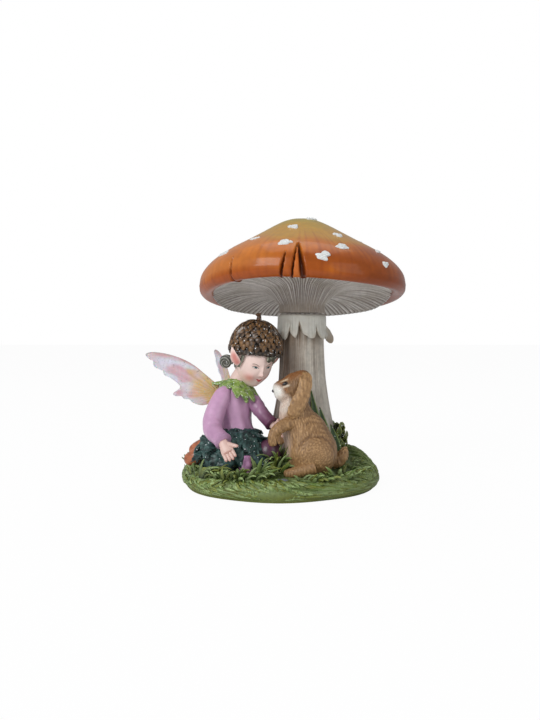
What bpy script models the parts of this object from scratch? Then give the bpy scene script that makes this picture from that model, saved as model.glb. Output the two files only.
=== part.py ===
"""Fairy figurine: a kneeling girl with an acorn hat and a rabbit under a toadstool, cast in resin.

Four castings. The figurine is one piece: grassy base, toadstool stem, girl and rabbit. The toadstool's
cap is glued over a spigot on the stem, and two wings are glued into slots in the girl's back.
Metres, +Z up. The origin is the middle of the flat underside, and the front is towards -Y.
"""

import math
import random

import bmesh
import bpy
from mathutils import Euler, Matrix, Vector

# Base: an oval mound of turf with a flat underside
BASE_HALF_WIDTH = 0.0555
BASE_HALF_DEPTH = 0.048
BASE_THICKNESS = 0.0095
BASE_STEPS = 42
# Share of the radius and of the thickness, from the middle of the top to the underside
BASE_PROFILE = ((0.0, 1.0), (0.35, 1.0), (0.66, 1.0), (0.83, 0.98), (0.93, 0.90), (0.98, 0.72), (1.0, 0.46), (0.99, 0.2), (0.965, 0.0), (0.0, 0.0))
KNOLL_UNDER_GIRL = 0.0025
KNOLL_BEHIND_RABBIT = 0.0085
KNOLL_SPREAD = 0.015

# Grass: blades that bend outwards over the rim, and taller leaves against the stem
BLADE_COUNT = 30
BLADE_LENGTH = 0.0085
BLADE_RADIUS = 0.0011
BLADE_ROOT_DEPTH = 0.002
TUFT_BLADE_RADIUS = 0.0014
# Each tuft: place of its middle, length of its blades, how many, and the share of the length they lean in X and Y
TUFTS = (
    (-0.0480, -0.0205, 0.0085, 3, -0.25, -0.25), (-0.0400, -0.0300, 0.0110, 5, 0.35, -0.20), (-0.0290, -0.0345, 0.0075, 3, -0.10, -0.30),
    (-0.0190, -0.0370, 0.0085, 4, 0.30, -0.20), (-0.0110, -0.0350, 0.0115, 5, 0.28, -0.10), (-0.0035, -0.0230, 0.0105, 4, 0.10, -0.10),
    (-0.0010, -0.0140, 0.0155, 5, 0.05, -0.05), (0.0160, -0.0375, 0.0062, 3, 0.20, -0.25), (0.0260, -0.0330, 0.0080, 4, 0.30, -0.25),
    (0.0350, -0.0250, 0.0085, 4, 0.25, -0.20), (0.0430, -0.0120, 0.0080, 4, 0.30, -0.15), (0.0440, 0.0040, 0.0075, 4, 0.30, 0.00),
    (0.0420, 0.0220, 0.0060, 5, 0.15, -0.20), (0.0250, 0.0330, 0.0080, 4, 0.00, 0.20), (0.0030, 0.0370, 0.0085, 4, 0.00, 0.22),
    (-0.0180, 0.0300, 0.0085, 4, -0.10, 0.20), (-0.0330, 0.0180, 0.0085, 4, -0.20, 0.15), (-0.0460, 0.0060, 0.0075, 3, -0.25, 0.10),
)
TUFT_SPREAD = 0.0030
TALL_LEAF_LENGTH = 0.0440
TALL_LEAF_RADIUS = 0.0024
BUSH_RADIUS = 0.0056

# Toadstool stem: fluted, flared at the foot, with a torn ring under the gills
STEM_X = 0.0126
STEM_Y = 0.012
STEM_TOP_Z = 0.095
STEM_TOP_RADIUS = 0.0120
STEM_WAIST_RADIUS = 0.0126
STEM_FOOT_RADIUS = 0.0215
STEM_FLUTES = 17
STEM_FLUTE_DEPTH = 0.0005
RING_RADIUS = 0.0138
RING_HEM_RADIUS = 0.0152
RING_DEPTH = 0.0135
RING_LOBES = 7
RING_LOBE_DEPTH = 0.0046
SPIGOT_RADIUS = 0.0060
SPIGOT_HEIGHT = 0.0060

# Toadstool cap: a domed skin with a rolled lip, gills below, and a short neck
CAP_RADIUS = 0.0582
CAP_HEIGHT = 0.0400
CAP_RIM_Z = 0.1095
CAP_TILT = 9.0
CAP_STEPS = 72
LIP_DEPTH = 0.0055
RIM_DROOP = 0.0022
LIP_WIDTH = 0.0075
GILL_RIDGE = 0.0011
GILL_DISH = 0.0040
GILL_FLARE = 0.0075
NECK_RADIUS = 0.0130
SOCKET_CLEARANCE = 0.0003
SPLIT_WIDTH = 0.0052
SPLIT_DEPTH = 0.0060
SPOT_RADIUS = 0.0036
SPOT_HEIGHT = 0.0013
# Share of the radius and of the height, from the rim up to the crown
CAP_PROFILE = ((1.0, 0.0), (0.985, 0.12), (0.94, 0.225), (0.87, 0.325), (0.76, 0.44), (0.6, 0.58), (0.45, 0.715), (0.33, 0.825), (0.22, 0.915), (0.1, 0.98), (0.0, 1.0))
# Where each split cuts the rim: degrees round the cap, and its share of the full split
CAP_SPLITS = ((-132.0, 0.75), (-102.5, 0.7), (-93.0, 1.15), (38.0, 1.0), (112.0, 0.9))
# Where each pale spot sits: degrees round the cap, and share of its radius
CAP_SPOTS = (
    (-102.0, 0.47), (-61.0, 0.63), (-102.0, 0.87), (-69.0, 0.88), (-83.0, 0.945), (-44.0, 0.95),
    (-37.0, 0.84), (-144.0, 0.90), (-129.0, 0.72), (-65.0, 0.20), (-12.0, 0.58), (14.0, 0.86),
    (45.0, 0.60), (75.0, 0.86), (105.0, 0.50), (136.0, 0.82), (168.0, 0.62),
)

# Girl: where she kneels, which way she faces, and her head
GIRL_X = -0.0280
GIRL_Y = -0.0060
GIRL_TURN = 47.0
SKIRT_RADII = (0.0206, 0.0205, 0.0142)
SKIRT_LIFT = 0.0080
SKIRT_RUFFLES = 14
SKIRT_RUFFLE_DEPTH = 0.0010
WAIST_HEIGHT = 0.0190
TORSO_HEIGHT = 0.0260
TORSO_HALF_WIDTH = 0.0100
TORSO_HALF_DEPTH = 0.0078
SLEEVE_RADIUS = 0.0049
CUFF_RADIUS = 0.0047
NECK_THICKNESS = 0.0038
COLLAR_RADIUS = 0.0132
COLLAR_POINTS = 9
COLLAR_THICKNESS = 0.0020
HEAD_RADII = (0.0100, 0.0106, 0.0122)
HEAD_TURN = 35.0
HEAD_NOD = 22.0
HEAD_ABOVE_COLLAR = 0.0104
NOSE_LENGTH = 0.0022
EAR_LENGTH = 0.0058
HAT_RADIUS = 0.0146
HAT_HEIGHT = 0.0180
HAT_NOD = 5.0
HAT_SCALES = 22
HAT_SCALE_RELIEF = 0.0007
HAT_STALK_LENGTH = 0.0030
HAIR_ROLL_RADIUS = 0.0027
HAIR_ROLL_THICKNESS = 0.0017
HAND_LENGTH = 0.0105
FINGER_RADIUS = 0.0011
BOOT_LENGTH = 0.0085
BOOT_RADIUS = 0.0042

# Wings: two like plates, each with a root tab in a slot
WING_THICKNESS = 0.0015
WING_SPAN = 0.0424
WING_HEIGHT = 0.0260
WING_TAB = 0.0034
SLOT_CLEARANCE = 0.0003
NEAR_WING_HEADING = 181.0
FAR_WING_HEADING = 109.0
WING_ROOT_GAP = 0.0044
# Share of the span outwards and of the height upwards, round the outline from the top of the root
WING_OUTLINE = (
    (0.0, 0.30), (0.10, 0.42), (0.23, 0.60), (0.37, 0.78), (0.52, 0.91), (0.71, 1.01), (0.90, 1.05), (0.99, 1.0),
    (0.94, 0.90), (0.895, 0.86), (0.885, 0.76), (0.84, 0.70), (0.77, 0.66), (0.745, 0.56), (0.66, 0.49), (0.54, 0.31),
    (0.63, 0.17), (0.60, 0.11), (0.53, 0.11), (0.49, 0.05), (0.42, 0.035), (0.38, -0.03), (0.32, -0.07), (0.25, -0.09),
    (0.17, -0.07), (0.0, -0.05),
)

# Rabbit: where it sits, and the size that its forms follow
RABBIT_X = 0.0165
RABBIT_Y = -0.0180
RABBIT_SEAT_DEPTH = 0.0010
# Each form: centre from the seat, radii, lean in degrees about Y, segments
RABBIT_FORMS = {
    "rabbit_haunch": ((0.0, 0.0, 0.0125), (0.0137, 0.0120, 0.0140), 0, 16),
    "rabbit_back": ((-0.0030, 0.0010, 0.0215), (0.0118, 0.0105, 0.0130), -24, 16),
    "rabbit_chest": ((-0.0082, 0.0005, 0.0300), (0.0088, 0.0084, 0.0140), -10, 14),
    "rabbit_head": ((-0.0105, 0.0, 0.0470), (0.0090, 0.0076, 0.0086), -20, 16),
    "rabbit_muzzle": ((-0.0160, -0.0012, 0.0442), (0.0044, 0.0047, 0.0052), -8, 12),
    "rabbit_ear_roots": ((-0.0068, 0.0, 0.0532), (0.0040, 0.0062, 0.0030), 14, 12),
    "rabbit_near_ear": ((-0.0078, -0.0078, 0.0425), (0.0042, 0.0019, 0.0122), 16, 10),
    "rabbit_far_ear": ((-0.0070, 0.0076, 0.0425), (0.0042, 0.0019, 0.0122), 12, 10),
    "rabbit_near_thigh": ((-0.0005, -0.0072, 0.0115), (0.0112, 0.0058, 0.0118), 0, 12),
    "rabbit_far_thigh": ((-0.0005, 0.0072, 0.0115), (0.0112, 0.0058, 0.0118), 0, 10),
    "rabbit_near_foot": ((-0.0080, -0.0105, 0.0032), (0.0078, 0.0034, 0.0034), 0, 12),
    "rabbit_far_foot": ((-0.0080, 0.0090, 0.0032), (0.0078, 0.0034, 0.0034), 0, 8),
    "rabbit_tail": ((0.0158, 0.0040, 0.0090), (0.0036, 0.0036, 0.0064), 24, 10),
}
RABBIT_ARM_RADIUS = 0.0032

MERGE = 1e-6
TURF_GREEN = (0.20, 0.27, 0.10, 1.0)
CAP_ORANGE = (0.55, 0.19, 0.05, 1.0)
WING_PINK = (0.72, 0.50, 0.55, 1.0)


def ground(x, y):
    """Height of the turf's top at a place, with a knoll under the girl and one behind the rabbit."""
    under_girl = math.exp(-((x - GIRL_X) ** 2 + (y - GIRL_Y) ** 2) / (2 * KNOLL_SPREAD) ** 2)
    knoll_x, knoll_y = 0.75 * BASE_HALF_WIDTH, 0.5 * BASE_HALF_DEPTH
    behind_rabbit = math.exp(-((x - knoll_x) ** 2 + (y - knoll_y) ** 2) / KNOLL_SPREAD**2)
    return BASE_THICKNESS + KNOLL_UNDER_GIRL * under_girl + KNOLL_BEHIND_RABBIT * behind_rabbit


def new_material(name, colour, roughness):
    material = bpy.data.materials.new(name)
    material.use_nodes = True
    shader = material.node_tree.nodes["Principled BSDF"]
    shader.inputs["Base Color"].default_value = colour
    shader.inputs["Roughness"].default_value = roughness
    return material


def new_object(name, mesh, collection):
    made = bpy.data.objects.new(name, mesh)
    collection.objects.link(made)
    return made


def new_form(name, shape, forms):
    """A closed shape, given as a bmesh, that a Boolean later joins to a casting or cuts from it."""
    bmesh.ops.remove_doubles(shape, verts=shape.verts, dist=MERGE)
    bmesh.ops.recalc_face_normals(shape, faces=shape.faces)
    bmesh.ops.triangulate(shape, faces=shape.faces)
    mesh = bpy.data.meshes.new(name)
    shape.to_mesh(mesh)
    shape.free()
    made = new_object(name, mesh, forms)
    made.hide_render = True
    made.display_type = "WIRE"
    return made


def turned(name, profile, steps, forms, relief=None, placement=None):
    """A profile of (radius, height) points, top to bottom, spun round Z. Relief then moves each point."""
    shape = bmesh.new()
    points = [shape.verts.new((radius, 0.0, height)) for radius, height in profile]
    edges = [shape.edges.new(pair) for pair in zip(points, points[1:])]
    bmesh.ops.spin(shape, geom=points + edges, axis=(0, 0, 1), cent=(0, 0, 0), steps=steps, angle=math.tau, use_merge=True)
    bmesh.ops.remove_doubles(shape, verts=shape.verts, dist=MERGE)
    for vertex in shape.verts if relief else ():
        vertex.co = relief(vertex.co.copy())
    if placement:
        shape.transform(placement)
    return new_form(name, shape, forms)


def ellipsoid(name, centre, radii, forms, turn=(0, 0, 0), segments=16, relief=None, placement=None, rings=0):
    """A rounded form. The turn is in degrees about X, Y and Z, and relief moves each point beforehand."""
    shape = bmesh.new()
    bmesh.ops.create_uvsphere(shape, u_segments=segments, v_segments=rings or max(6, segments * 5 // 8), radius=1.0)
    for vertex in shape.verts:
        vertex.co = Vector(a * b for a, b in zip(vertex.co, radii))
        if relief:
            vertex.co = relief(vertex.co.copy())
    angles = Euler([math.radians(angle) for angle in turn])
    shape.transform(Matrix.Translation(centre) @ angles.to_matrix().to_4x4())
    if placement:
        shape.transform(placement)
    return new_form(name, shape, forms)


def limb(name, points, radii, forms, resolution=2, placement=None):
    """A tapered round bar along a smooth curve near the points, made a mesh so that it can be joined."""
    curve = bpy.data.curves.new(name, "CURVE")
    curve.dimensions = "3D"
    curve.bevel_depth = 1.0
    curve.bevel_resolution = resolution
    curve.use_fill_caps = True
    curve.resolution_u = 3
    spline = curve.splines.new("NURBS")
    spline.points.add(len(points) - 1)
    for control, place, radius in zip(spline.points, points, radii):
        control.co = (*place, 1.0)
        control.radius = radius
    spline.order_u = 3
    spline.use_endpoint_u = True
    guide = new_object(name + "_guide", curve, forms)
    graph = bpy.context.evaluated_depsgraph_get()
    swept = bpy.data.meshes.new_from_object(guide.evaluated_get(graph))
    bpy.data.objects.remove(guide)
    shape = bmesh.new()
    shape.from_mesh(swept)
    bpy.data.meshes.remove(swept)
    if placement:
        shape.transform(placement)
    return new_form(name, shape, forms)


def lofted(name, sections, steps, forms):
    """A closed body through level ellipses, each given as centre, half width, half depth and turn in degrees."""
    shape = bmesh.new()
    rings = []
    for centre, half_width, half_depth, turn in sections:
        place = Matrix.Translation(centre) @ Matrix.Rotation(math.radians(turn), 4, "Z")
        ring = []
        for step in range(steps):
            angle = math.tau * step / steps
            ring.append(shape.verts.new(place @ Vector((half_width * math.cos(angle), half_depth * math.sin(angle), 0.0))))
        rings.append(ring)
    for low, high in zip(rings, rings[1:]):
        for step in range(steps):
            after = (step + 1) % steps
            shape.faces.new((low[step], low[after], high[after], high[step]))
    shape.faces.new(rings[0][::-1])
    shape.faces.new(rings[-1])
    return new_form(name, shape, forms)


def blade(name, points, outward, half_width, forms):
    """A blade of grass: a three-sided bar through the points that narrows to its tip."""
    shape = bmesh.new()
    across = Vector((-outward.y, outward.x, 0.0)).normalized() * half_width
    rings = []
    for here, after in zip(points, points[1:]):
        ridge = across.cross(after - here).normalized() * half_width
        rings.append([shape.verts.new(place) for place in (here + across, here - across, here + ridge)])
    tip = shape.verts.new(points[-1])
    for low, high in zip(rings, rings[1:]):
        for step in range(3):
            shape.faces.new((low[step], low[(step + 1) % 3], high[(step + 1) % 3], high[step]))
    for step in range(3):
        shape.faces.new((rings[-1][step], rings[-1][(step + 1) % 3], tip))
    shape.faces.new(rings[0])
    new_form(name, shape, forms)


def united(name, first, forms, cutters, material, collection):
    """One casting: the first form, all the others in the collection joined to it, and the cutters taken away."""
    forms.objects.unlink(first)
    collection.objects.link(first)
    first.name = name
    first.hide_render = False
    first.display_type = "TEXTURED"
    for operation, others in (("UNION", forms), ("DIFFERENCE", cutters)):
        change = first.modifiers.new(operation.lower(), "BOOLEAN")
        change.operation = operation
        change.operand_type = "COLLECTION"
        change.collection = others
        graph = bpy.context.evaluated_depsgraph_get()
        changed = bpy.data.meshes.new_from_object(first.evaluated_get(graph))
        first.modifiers.clear()
        shape = bmesh.new()
        shape.from_mesh(changed)
        bpy.data.meshes.remove(changed)
        bmesh.ops.remove_doubles(shape, verts=shape.verts, dist=MERGE)
        bmesh.ops.dissolve_degenerate(shape, edges=shape.edges, dist=MERGE)
        fill_bubbles(shape)
        bmesh.ops.triangulate(shape, faces=shape.faces)
        shape.to_mesh(first.data)
        shape.free()
    first.data.materials.append(material)
    return first


def fill_bubbles(shape):
    """Fill the pinholes that joined forms can trap between them: only the largest surface stays."""
    left = set(shape.verts)
    surfaces = []
    while left:
        front = [left.pop()]
        surface = list(front)
        while front:
            around = {edge.other_vert(vertex) for vertex in front for edge in vertex.link_edges}
            front = [vertex for vertex in around if vertex in left]
            left.difference_update(front)
            surface.extend(front)
        surfaces.append(surface)
    surfaces.sort(key=len)
    bubbles = [vertex for surface in surfaces[:-1] for vertex in surface]
    bmesh.ops.delete(shape, geom=bubbles, context="VERTS")


def new_collection(name, shown=True):
    made = bpy.data.collections.new(name)
    bpy.context.scene.collection.children.link(made)
    made.hide_render = not shown
    return made


def build_base(forms):
    """The oval mound. Its rim wavers a little, and its top follows the ground."""

    def relief(point):
        share = math.hypot(point.x, point.y)
        around = math.atan2(point.y, point.x)
        waver = 1 + 0.015 * math.sin(3 * around + 0.6) + 0.01 * math.sin(7 * around)
        x = BASE_HALF_WIDTH * point.x * waver
        y = BASE_HALF_DEPTH * point.y * waver
        strokes = 0.02 * math.sin(23 * around + 9 * share) * share
        return Vector((x, y, ground(x, y) * point.z * (1 + strokes)))

    return turned("turf", BASE_PROFILE, BASE_STEPS, forms, relief)


def build_grass(forms):
    """Blades in a ring near the rim, tufts, then the tall leaves and the bush beside the stem."""
    chance = random.Random(5)
    for number in range(BLADE_COUNT):
        around = math.tau * (number + chance.uniform(-0.3, 0.3)) / BLADE_COUNT
        inward = chance.choice((0.74, 0.80, 0.86))
        root = Vector((BASE_HALF_WIDTH * inward * math.cos(around), BASE_HALF_DEPTH * inward * math.sin(around), 0.0))
        root.z = ground(root.x, root.y) - BLADE_ROOT_DEPTH
        outward = Vector((root.x, root.y, 0.0)).normalized()
        sideways = Vector((-outward.y, outward.x, 0.0)) * chance.uniform(-0.45, 0.45)
        length = BLADE_LENGTH * chance.uniform(0.75, 1.05)
        bend = root + (0.30 * outward + 0.6 * sideways + Vector((0, 0, 0.75))) * length
        tip = root + (0.80 * outward + sideways + Vector((0, 0, 0.60))) * length
        blade(f"blade_{number}", (root, bend, tip), outward, BLADE_RADIUS, forms)
    for tuft, (x, y, tall, count, lean_x, lean_y) in enumerate(TUFTS):
        for number in range(count):
            around = math.tau * number / count + tuft
            away = Vector((math.cos(around), math.sin(around), 0.0))
            root = Vector((x, y, 0.0)) + away * TUFT_SPREAD * (0.55 + 0.45 * (number % 2))
            root.z = ground(root.x, root.y) - BLADE_ROOT_DEPTH
            lean = Vector((lean_x, lean_y, 0.0)) + 0.25 * away
            length = tall * (0.8 + 0.2 * (number % 2)) + BLADE_ROOT_DEPTH
            bend = root + (0.30 * lean + Vector((0, 0, 0.55))) * length
            tip = root + (lean + Vector((0, 0, 0.95))) * length
            blade(f"tuft_{tuft}_{number}", (root, bend, tip), away, TUFT_BLADE_RADIUS, forms)
    for number, (offset, lean) in enumerate((((0.0075, -0.0185), (-0.0030, 0.0040)), ((0.0135, -0.0165), (-0.0040, 0.0040)), ((0.0185, -0.0140), (-0.0028, 0.0030)))):
        root = Vector((STEM_X + offset[0], STEM_Y + offset[1], BASE_THICKNESS - BLADE_ROOT_DEPTH))
        length = TALL_LEAF_LENGTH * (1.0 - 0.22 * number)
        tip = root + Vector((lean[0], lean[1], length + BLADE_ROOT_DEPTH))
        middle = (root + tip) / 2 + Vector((0.0015, -0.0008, 0.0))
        blade(f"tall_leaf_{number}", (root, middle, tip), Vector((0, -1, 0)), TALL_LEAF_RADIUS, forms)

    def ruffle(point):
        around = math.atan2(point.y, point.x)
        return point * (1 + 0.16 * math.sin(7 * around + 500 * point.z))

    bush = (STEM_X + STEM_FOOT_RADIUS - 0.0014, STEM_Y - 0.0020, BASE_THICKNESS + 2.0 * BUSH_RADIUS)
    ellipsoid("bush", bush, (BUSH_RADIUS * 0.75, BUSH_RADIUS * 0.9, BUSH_RADIUS * 2.1), forms, segments=12, relief=ruffle)


def build_stem(forms):
    """The fluted stem, its torn ring and the spigot that the cap is glued over."""
    height = STEM_TOP_Z
    profile = (
        (0.0, height + SPIGOT_HEIGHT), (SPIGOT_RADIUS, height + SPIGOT_HEIGHT), (SPIGOT_RADIUS, height),
        (STEM_TOP_RADIUS, height), (STEM_WAIST_RADIUS, 0.70 * height), (1.12 * STEM_WAIST_RADIUS, 0.53 * height),
        (0.45 * STEM_FOOT_RADIUS + 0.55 * STEM_WAIST_RADIUS, 0.38 * height), (0.9 * STEM_FOOT_RADIUS, 0.26 * height),
        (STEM_FOOT_RADIUS, 0.14 * height), (STEM_FOOT_RADIUS, 0.3 * BASE_THICKNESS), (0.0, 0.3 * BASE_THICKNESS),
    )
    at_stem = Matrix.Translation((STEM_X, STEM_Y, 0.0))

    def flutes(point):
        around = math.atan2(point.y, point.x)
        depth = STEM_FLUTE_DEPTH * (math.cos(STEM_FLUTES * around) + 0.5 * math.sin(5 * around + 40 * point.z))
        radius = math.hypot(point.x, point.y)
        share = 1 + depth / radius if radius > 1.1 * SPIGOT_RADIUS else 1
        return Vector((point.x * share, point.y * share, point.z))

    turned("stem", profile, 2 * STEM_FLUTES, forms, flutes, at_stem)

    inside = STEM_TOP_RADIUS - 0.003
    hem = height - RING_DEPTH
    ring = (
        (0.0, height - 0.0004), (STEM_TOP_RADIUS, height - 0.0004), (RING_RADIUS, height - 0.0014), (RING_RADIUS, height - 0.45 * RING_DEPTH),
        (RING_HEM_RADIUS, hem), (RING_HEM_RADIUS - 0.0014, hem - 0.0002), (inside, height - 0.55 * RING_DEPTH), (0.0, height - 0.55 * RING_DEPTH),
    )

    def torn(point):
        around = math.atan2(point.y, point.x)
        low = max(0.0, (height - 0.4 * RING_DEPTH - point.z) / RING_DEPTH)
        lobes = abs(math.sin(0.5 * RING_LOBES * around + 0.4)) ** 0.5
        radius = math.hypot(point.x, point.y)
        if radius < inside * 1.01:
            return point
        flare = 1 + 0.10 * low * math.sin(RING_LOBES * around)
        return Vector((point.x * flare, point.y * flare, point.z + RING_LOBE_DEPTH * low * (0.6 - lobes) * 1.6))

    turned("stem_ring", ring, 5 * RING_LOBES, forms, torn, at_stem)
    flap = (STEM_X + RING_HEM_RADIUS + 0.0002, STEM_Y + 0.0020, hem - 0.0012)
    ellipsoid("ring_flap", flap, (0.0018, 0.0034, 0.0062), forms, (0, -24, 8), 10)


def face_relief(point):
    """Nose, chin, cheeks, lips and eye hollows as soft bumps on the front of the head, which faces -Y."""
    across, _, up = (place / radius for place, radius in zip(point, HEAD_RADII))
    if point.y > -0.1 * HEAD_RADII[1]:
        return point

    def bump(at_across, at_up, width, height):
        return math.exp(-(((across - at_across) / width) ** 2) - ((up - at_up) / height) ** 2)

    out = NOSE_LENGTH * bump(0.0, -0.22, 0.13, 0.20)
    out += 0.0006 * (bump(0.45, -0.28, 0.25, 0.25) + bump(-0.45, -0.28, 0.25, 0.25))
    out -= 0.0010 * (bump(0.43, 0.08, 0.20, 0.14) + bump(-0.43, 0.08, 0.20, 0.14))
    out += 0.0008 * bump(0.0, -0.55, 0.22, 0.10) + 0.0016 * bump(0.0, -0.86, 0.3, 0.16)
    return point + Vector((0.0, -out, -0.3 * out * bump(0.0, -0.22, 0.13, 0.2)))


def build_girl(forms):
    """The kneeling girl. Returns the height and middle of her chest, where the wings are seated."""
    seat = Vector((GIRL_X, GIRL_Y, ground(GIRL_X, GIRL_Y)))
    facing = Matrix.Rotation(math.radians(GIRL_TURN), 3, "Z")
    forward = facing @ Vector((0, -1, 0))
    her_left = facing @ Vector((1, 0, 0))

    def ruffles(point):
        around = math.atan2(point.y, point.x)
        up = point.z / SKIRT_RADII[2]
        tier = 2.6 * (up + 1)
        leaf = math.cos(SKIRT_RUFFLES * around + math.pi * int(tier)) * SKIRT_RUFFLE_DEPTH
        flounce = (1 - tier % 1) * SKIRT_RUFFLE_DEPTH
        fuller = 1 + 0.04 * (1 - up * up)
        push = point.normalized() * (leaf + flounce)
        return Vector((point.x * fuller, point.y * fuller, point.z)) + push

    ellipsoid("skirt", seat + Vector((0.0026, -0.0022, SKIRT_LIFT)), SKIRT_RADII, forms, segments=2 * SKIRT_RUFFLES, relief=ruffles, rings=11)
    waist = seat + Vector((0.0040, 0.0020, WAIST_HEIGHT))
    chest = waist + Vector((-0.0003, 0.0015, 0.55 * TORSO_HEIGHT))
    collar = waist + Vector((0.0002, 0.0010, 1.04 * TORSO_HEIGHT))
    wide, deep = TORSO_HALF_WIDTH, TORSO_HALF_DEPTH
    torso = (
        (waist - Vector((0, 0, 0.10 * TORSO_HEIGHT)), 0.98 * wide, 1.06 * deep, GIRL_TURN),
        (waist + Vector((0, 0, 0.05 * TORSO_HEIGHT)), 0.96 * wide, 1.04 * deep, GIRL_TURN),
        (waist + Vector((0, 0, 0.25 * TORSO_HEIGHT)), 0.88 * wide, 0.94 * deep, GIRL_TURN),
        (chest, 0.98 * wide, deep, GIRL_TURN),
        (chest + Vector((0, 0, 0.22 * TORSO_HEIGHT)), 1.0 * wide, 0.92 * deep, GIRL_TURN),
        (collar - Vector((0, 0, 0.08 * TORSO_HEIGHT)), 0.70 * wide, 0.70 * deep, GIRL_TURN),
        (collar + Vector((0, 0, 0.04 * TORSO_HEIGHT)), NECK_THICKNESS, NECK_THICKNESS, GIRL_TURN),
    )
    lofted("sweater", torso, 16, forms)

    shoulder = 0.80 * wide
    near_shoulder = chest + Vector((0, 0, 0.26 * TORSO_HEIGHT)) - her_left * shoulder
    near_elbow = near_shoulder + Vector((-0.0080, -0.0095, -0.0165))
    near_wrist = near_elbow + Vector((0.0085, -0.0130, -0.0072))
    limb("near_sleeve", (near_shoulder, near_elbow, near_elbow + Vector((0.0006, -0.0015, -0.0030)), near_wrist), (0.9 * SLEEVE_RADIUS, 1.1 * SLEEVE_RADIUS, SLEEVE_RADIUS, CUFF_RADIUS), forms)
    far_shoulder = chest + Vector((0, 0, 0.22 * TORSO_HEIGHT)) + her_left * shoulder
    far_wrist = far_shoulder + Vector((0.0125, -0.0160, -0.0150))
    limb("far_sleeve", (far_shoulder, (far_shoulder + far_wrist) / 2 + Vector((0, 0, -0.001)), far_wrist), (0.85 * SLEEVE_RADIUS, 0.95 * SLEEVE_RADIUS, 0.78 * CUFF_RADIUS), forms)
    build_hand("near", near_wrist, Vector((0.25, -0.55, -0.80)), Vector((1.0, 0.1, -0.25)), forms)
    build_hand("far", far_wrist, Vector((0.75, -0.35, -0.45)), Vector((0.0, 0.5, 1.0)), forms)

    knee_height = 0.0062
    near_knee = seat + forward * 0.0195 - her_left * 0.0088 + Vector((0, 0, knee_height - 0.0012))
    far_knee = seat + forward * 0.0230 + her_left * 0.0075 + Vector((0, 0, knee_height + 0.0025))
    ellipsoid("near_knee", near_knee, (0.0052, 0.0060, 0.0068), forms, segments=12)
    ellipsoid("far_knee", far_knee, (0.0066, 0.0066, 0.0078), forms, segments=12)
    for side in ("near", "far"):
        boot = seat + Vector((-0.0175, 0.0035, BOOT_RADIUS)) + Vector((-0.0010, 0.0080, 0.0025)) * (side == "far")
        ellipsoid(f"{side}_boot", boot, (BOOT_RADIUS, BOOT_LENGTH, 0.9 * BOOT_RADIUS), forms, (-6, 0, GIRL_TURN + (40 if side == "near" else 15)), 12)

    def points(point):
        around = math.atan2(point.y, point.x)
        radius = math.hypot(point.x, point.y)
        if radius < 0.6 * COLLAR_RADIUS:
            return point
        share = 0.84 + 0.22 * abs(math.cos(0.5 * COLLAR_POINTS * around)) ** 1.5
        drape = 0.45 + 0.55 * math.sin(around) ** 2
        return Vector((point.x * share, point.y * share, drape * (point.z - 0.35 * (share - 0.9) * COLLAR_RADIUS)))

    leaf = (
        (0.0, 0.0025), (0.32 * COLLAR_RADIUS, 0.0022), (0.62 * COLLAR_RADIUS, -0.0018), (COLLAR_RADIUS, -0.0105),
        (COLLAR_RADIUS, -0.0105 - COLLAR_THICKNESS), (0.5 * COLLAR_RADIUS, -0.0018 - 2 * COLLAR_THICKNESS), (0.0, -0.0018 - 2 * COLLAR_THICKNESS),
    )
    turned("leaf_collar", leaf, 3 * COLLAR_POINTS, forms, points, Matrix.Translation(collar - Vector((0.0008, 0.0, 0.0))) @ Matrix.Rotation(math.radians(GIRL_TURN), 4, "Z"))

    head = collar + Vector((0.0094, -0.0030, HEAD_ABOVE_COLLAR))
    limb("neck", (collar - Vector((0, 0, 0.003)), (collar + head) / 2 + Vector((-0.002, 0.001, 0)), head), (NECK_THICKNESS, NECK_THICKNESS, NECK_THICKNESS), forms)
    build_head(head, forms)
    return chest


def build_hand(side, wrist, reach, thumb_way, forms):
    """A palm, four fingers side by side and a thumb, from the cuff along the reach."""
    reach = reach.normalized()
    across = reach.cross(Vector((0, 1, 0))).normalized()
    palm = wrist + reach * 0.45 * HAND_LENGTH
    ends = (wrist - reach * 0.1 * HAND_LENGTH, palm, wrist + reach * 0.62 * HAND_LENGTH)
    limb(f"{side}_palm", ends, (0.0024, 0.0032, 0.0030), forms)
    for number in range(4):
        knuckle = palm + across * (number - 1.5) * 1.75 * FINGER_RADIUS
        tip = knuckle + reach * (0.62 - 0.05 * abs(number - 1.3)) * HAND_LENGTH
        limb(f"{side}_finger_{number}", (knuckle, (knuckle + tip) / 2, tip), (FINGER_RADIUS, FINGER_RADIUS, 0.7 * FINGER_RADIUS), forms, resolution=0)
    thumb_tip = palm + thumb_way.normalized() * 0.62 * HAND_LENGTH
    limb(f"{side}_thumb", (palm, (palm + thumb_tip) / 2 + reach * 0.001, thumb_tip), (1.4 * FINGER_RADIUS, FINGER_RADIUS, 0.6 * FINGER_RADIUS), forms, resolution=0)


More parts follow.
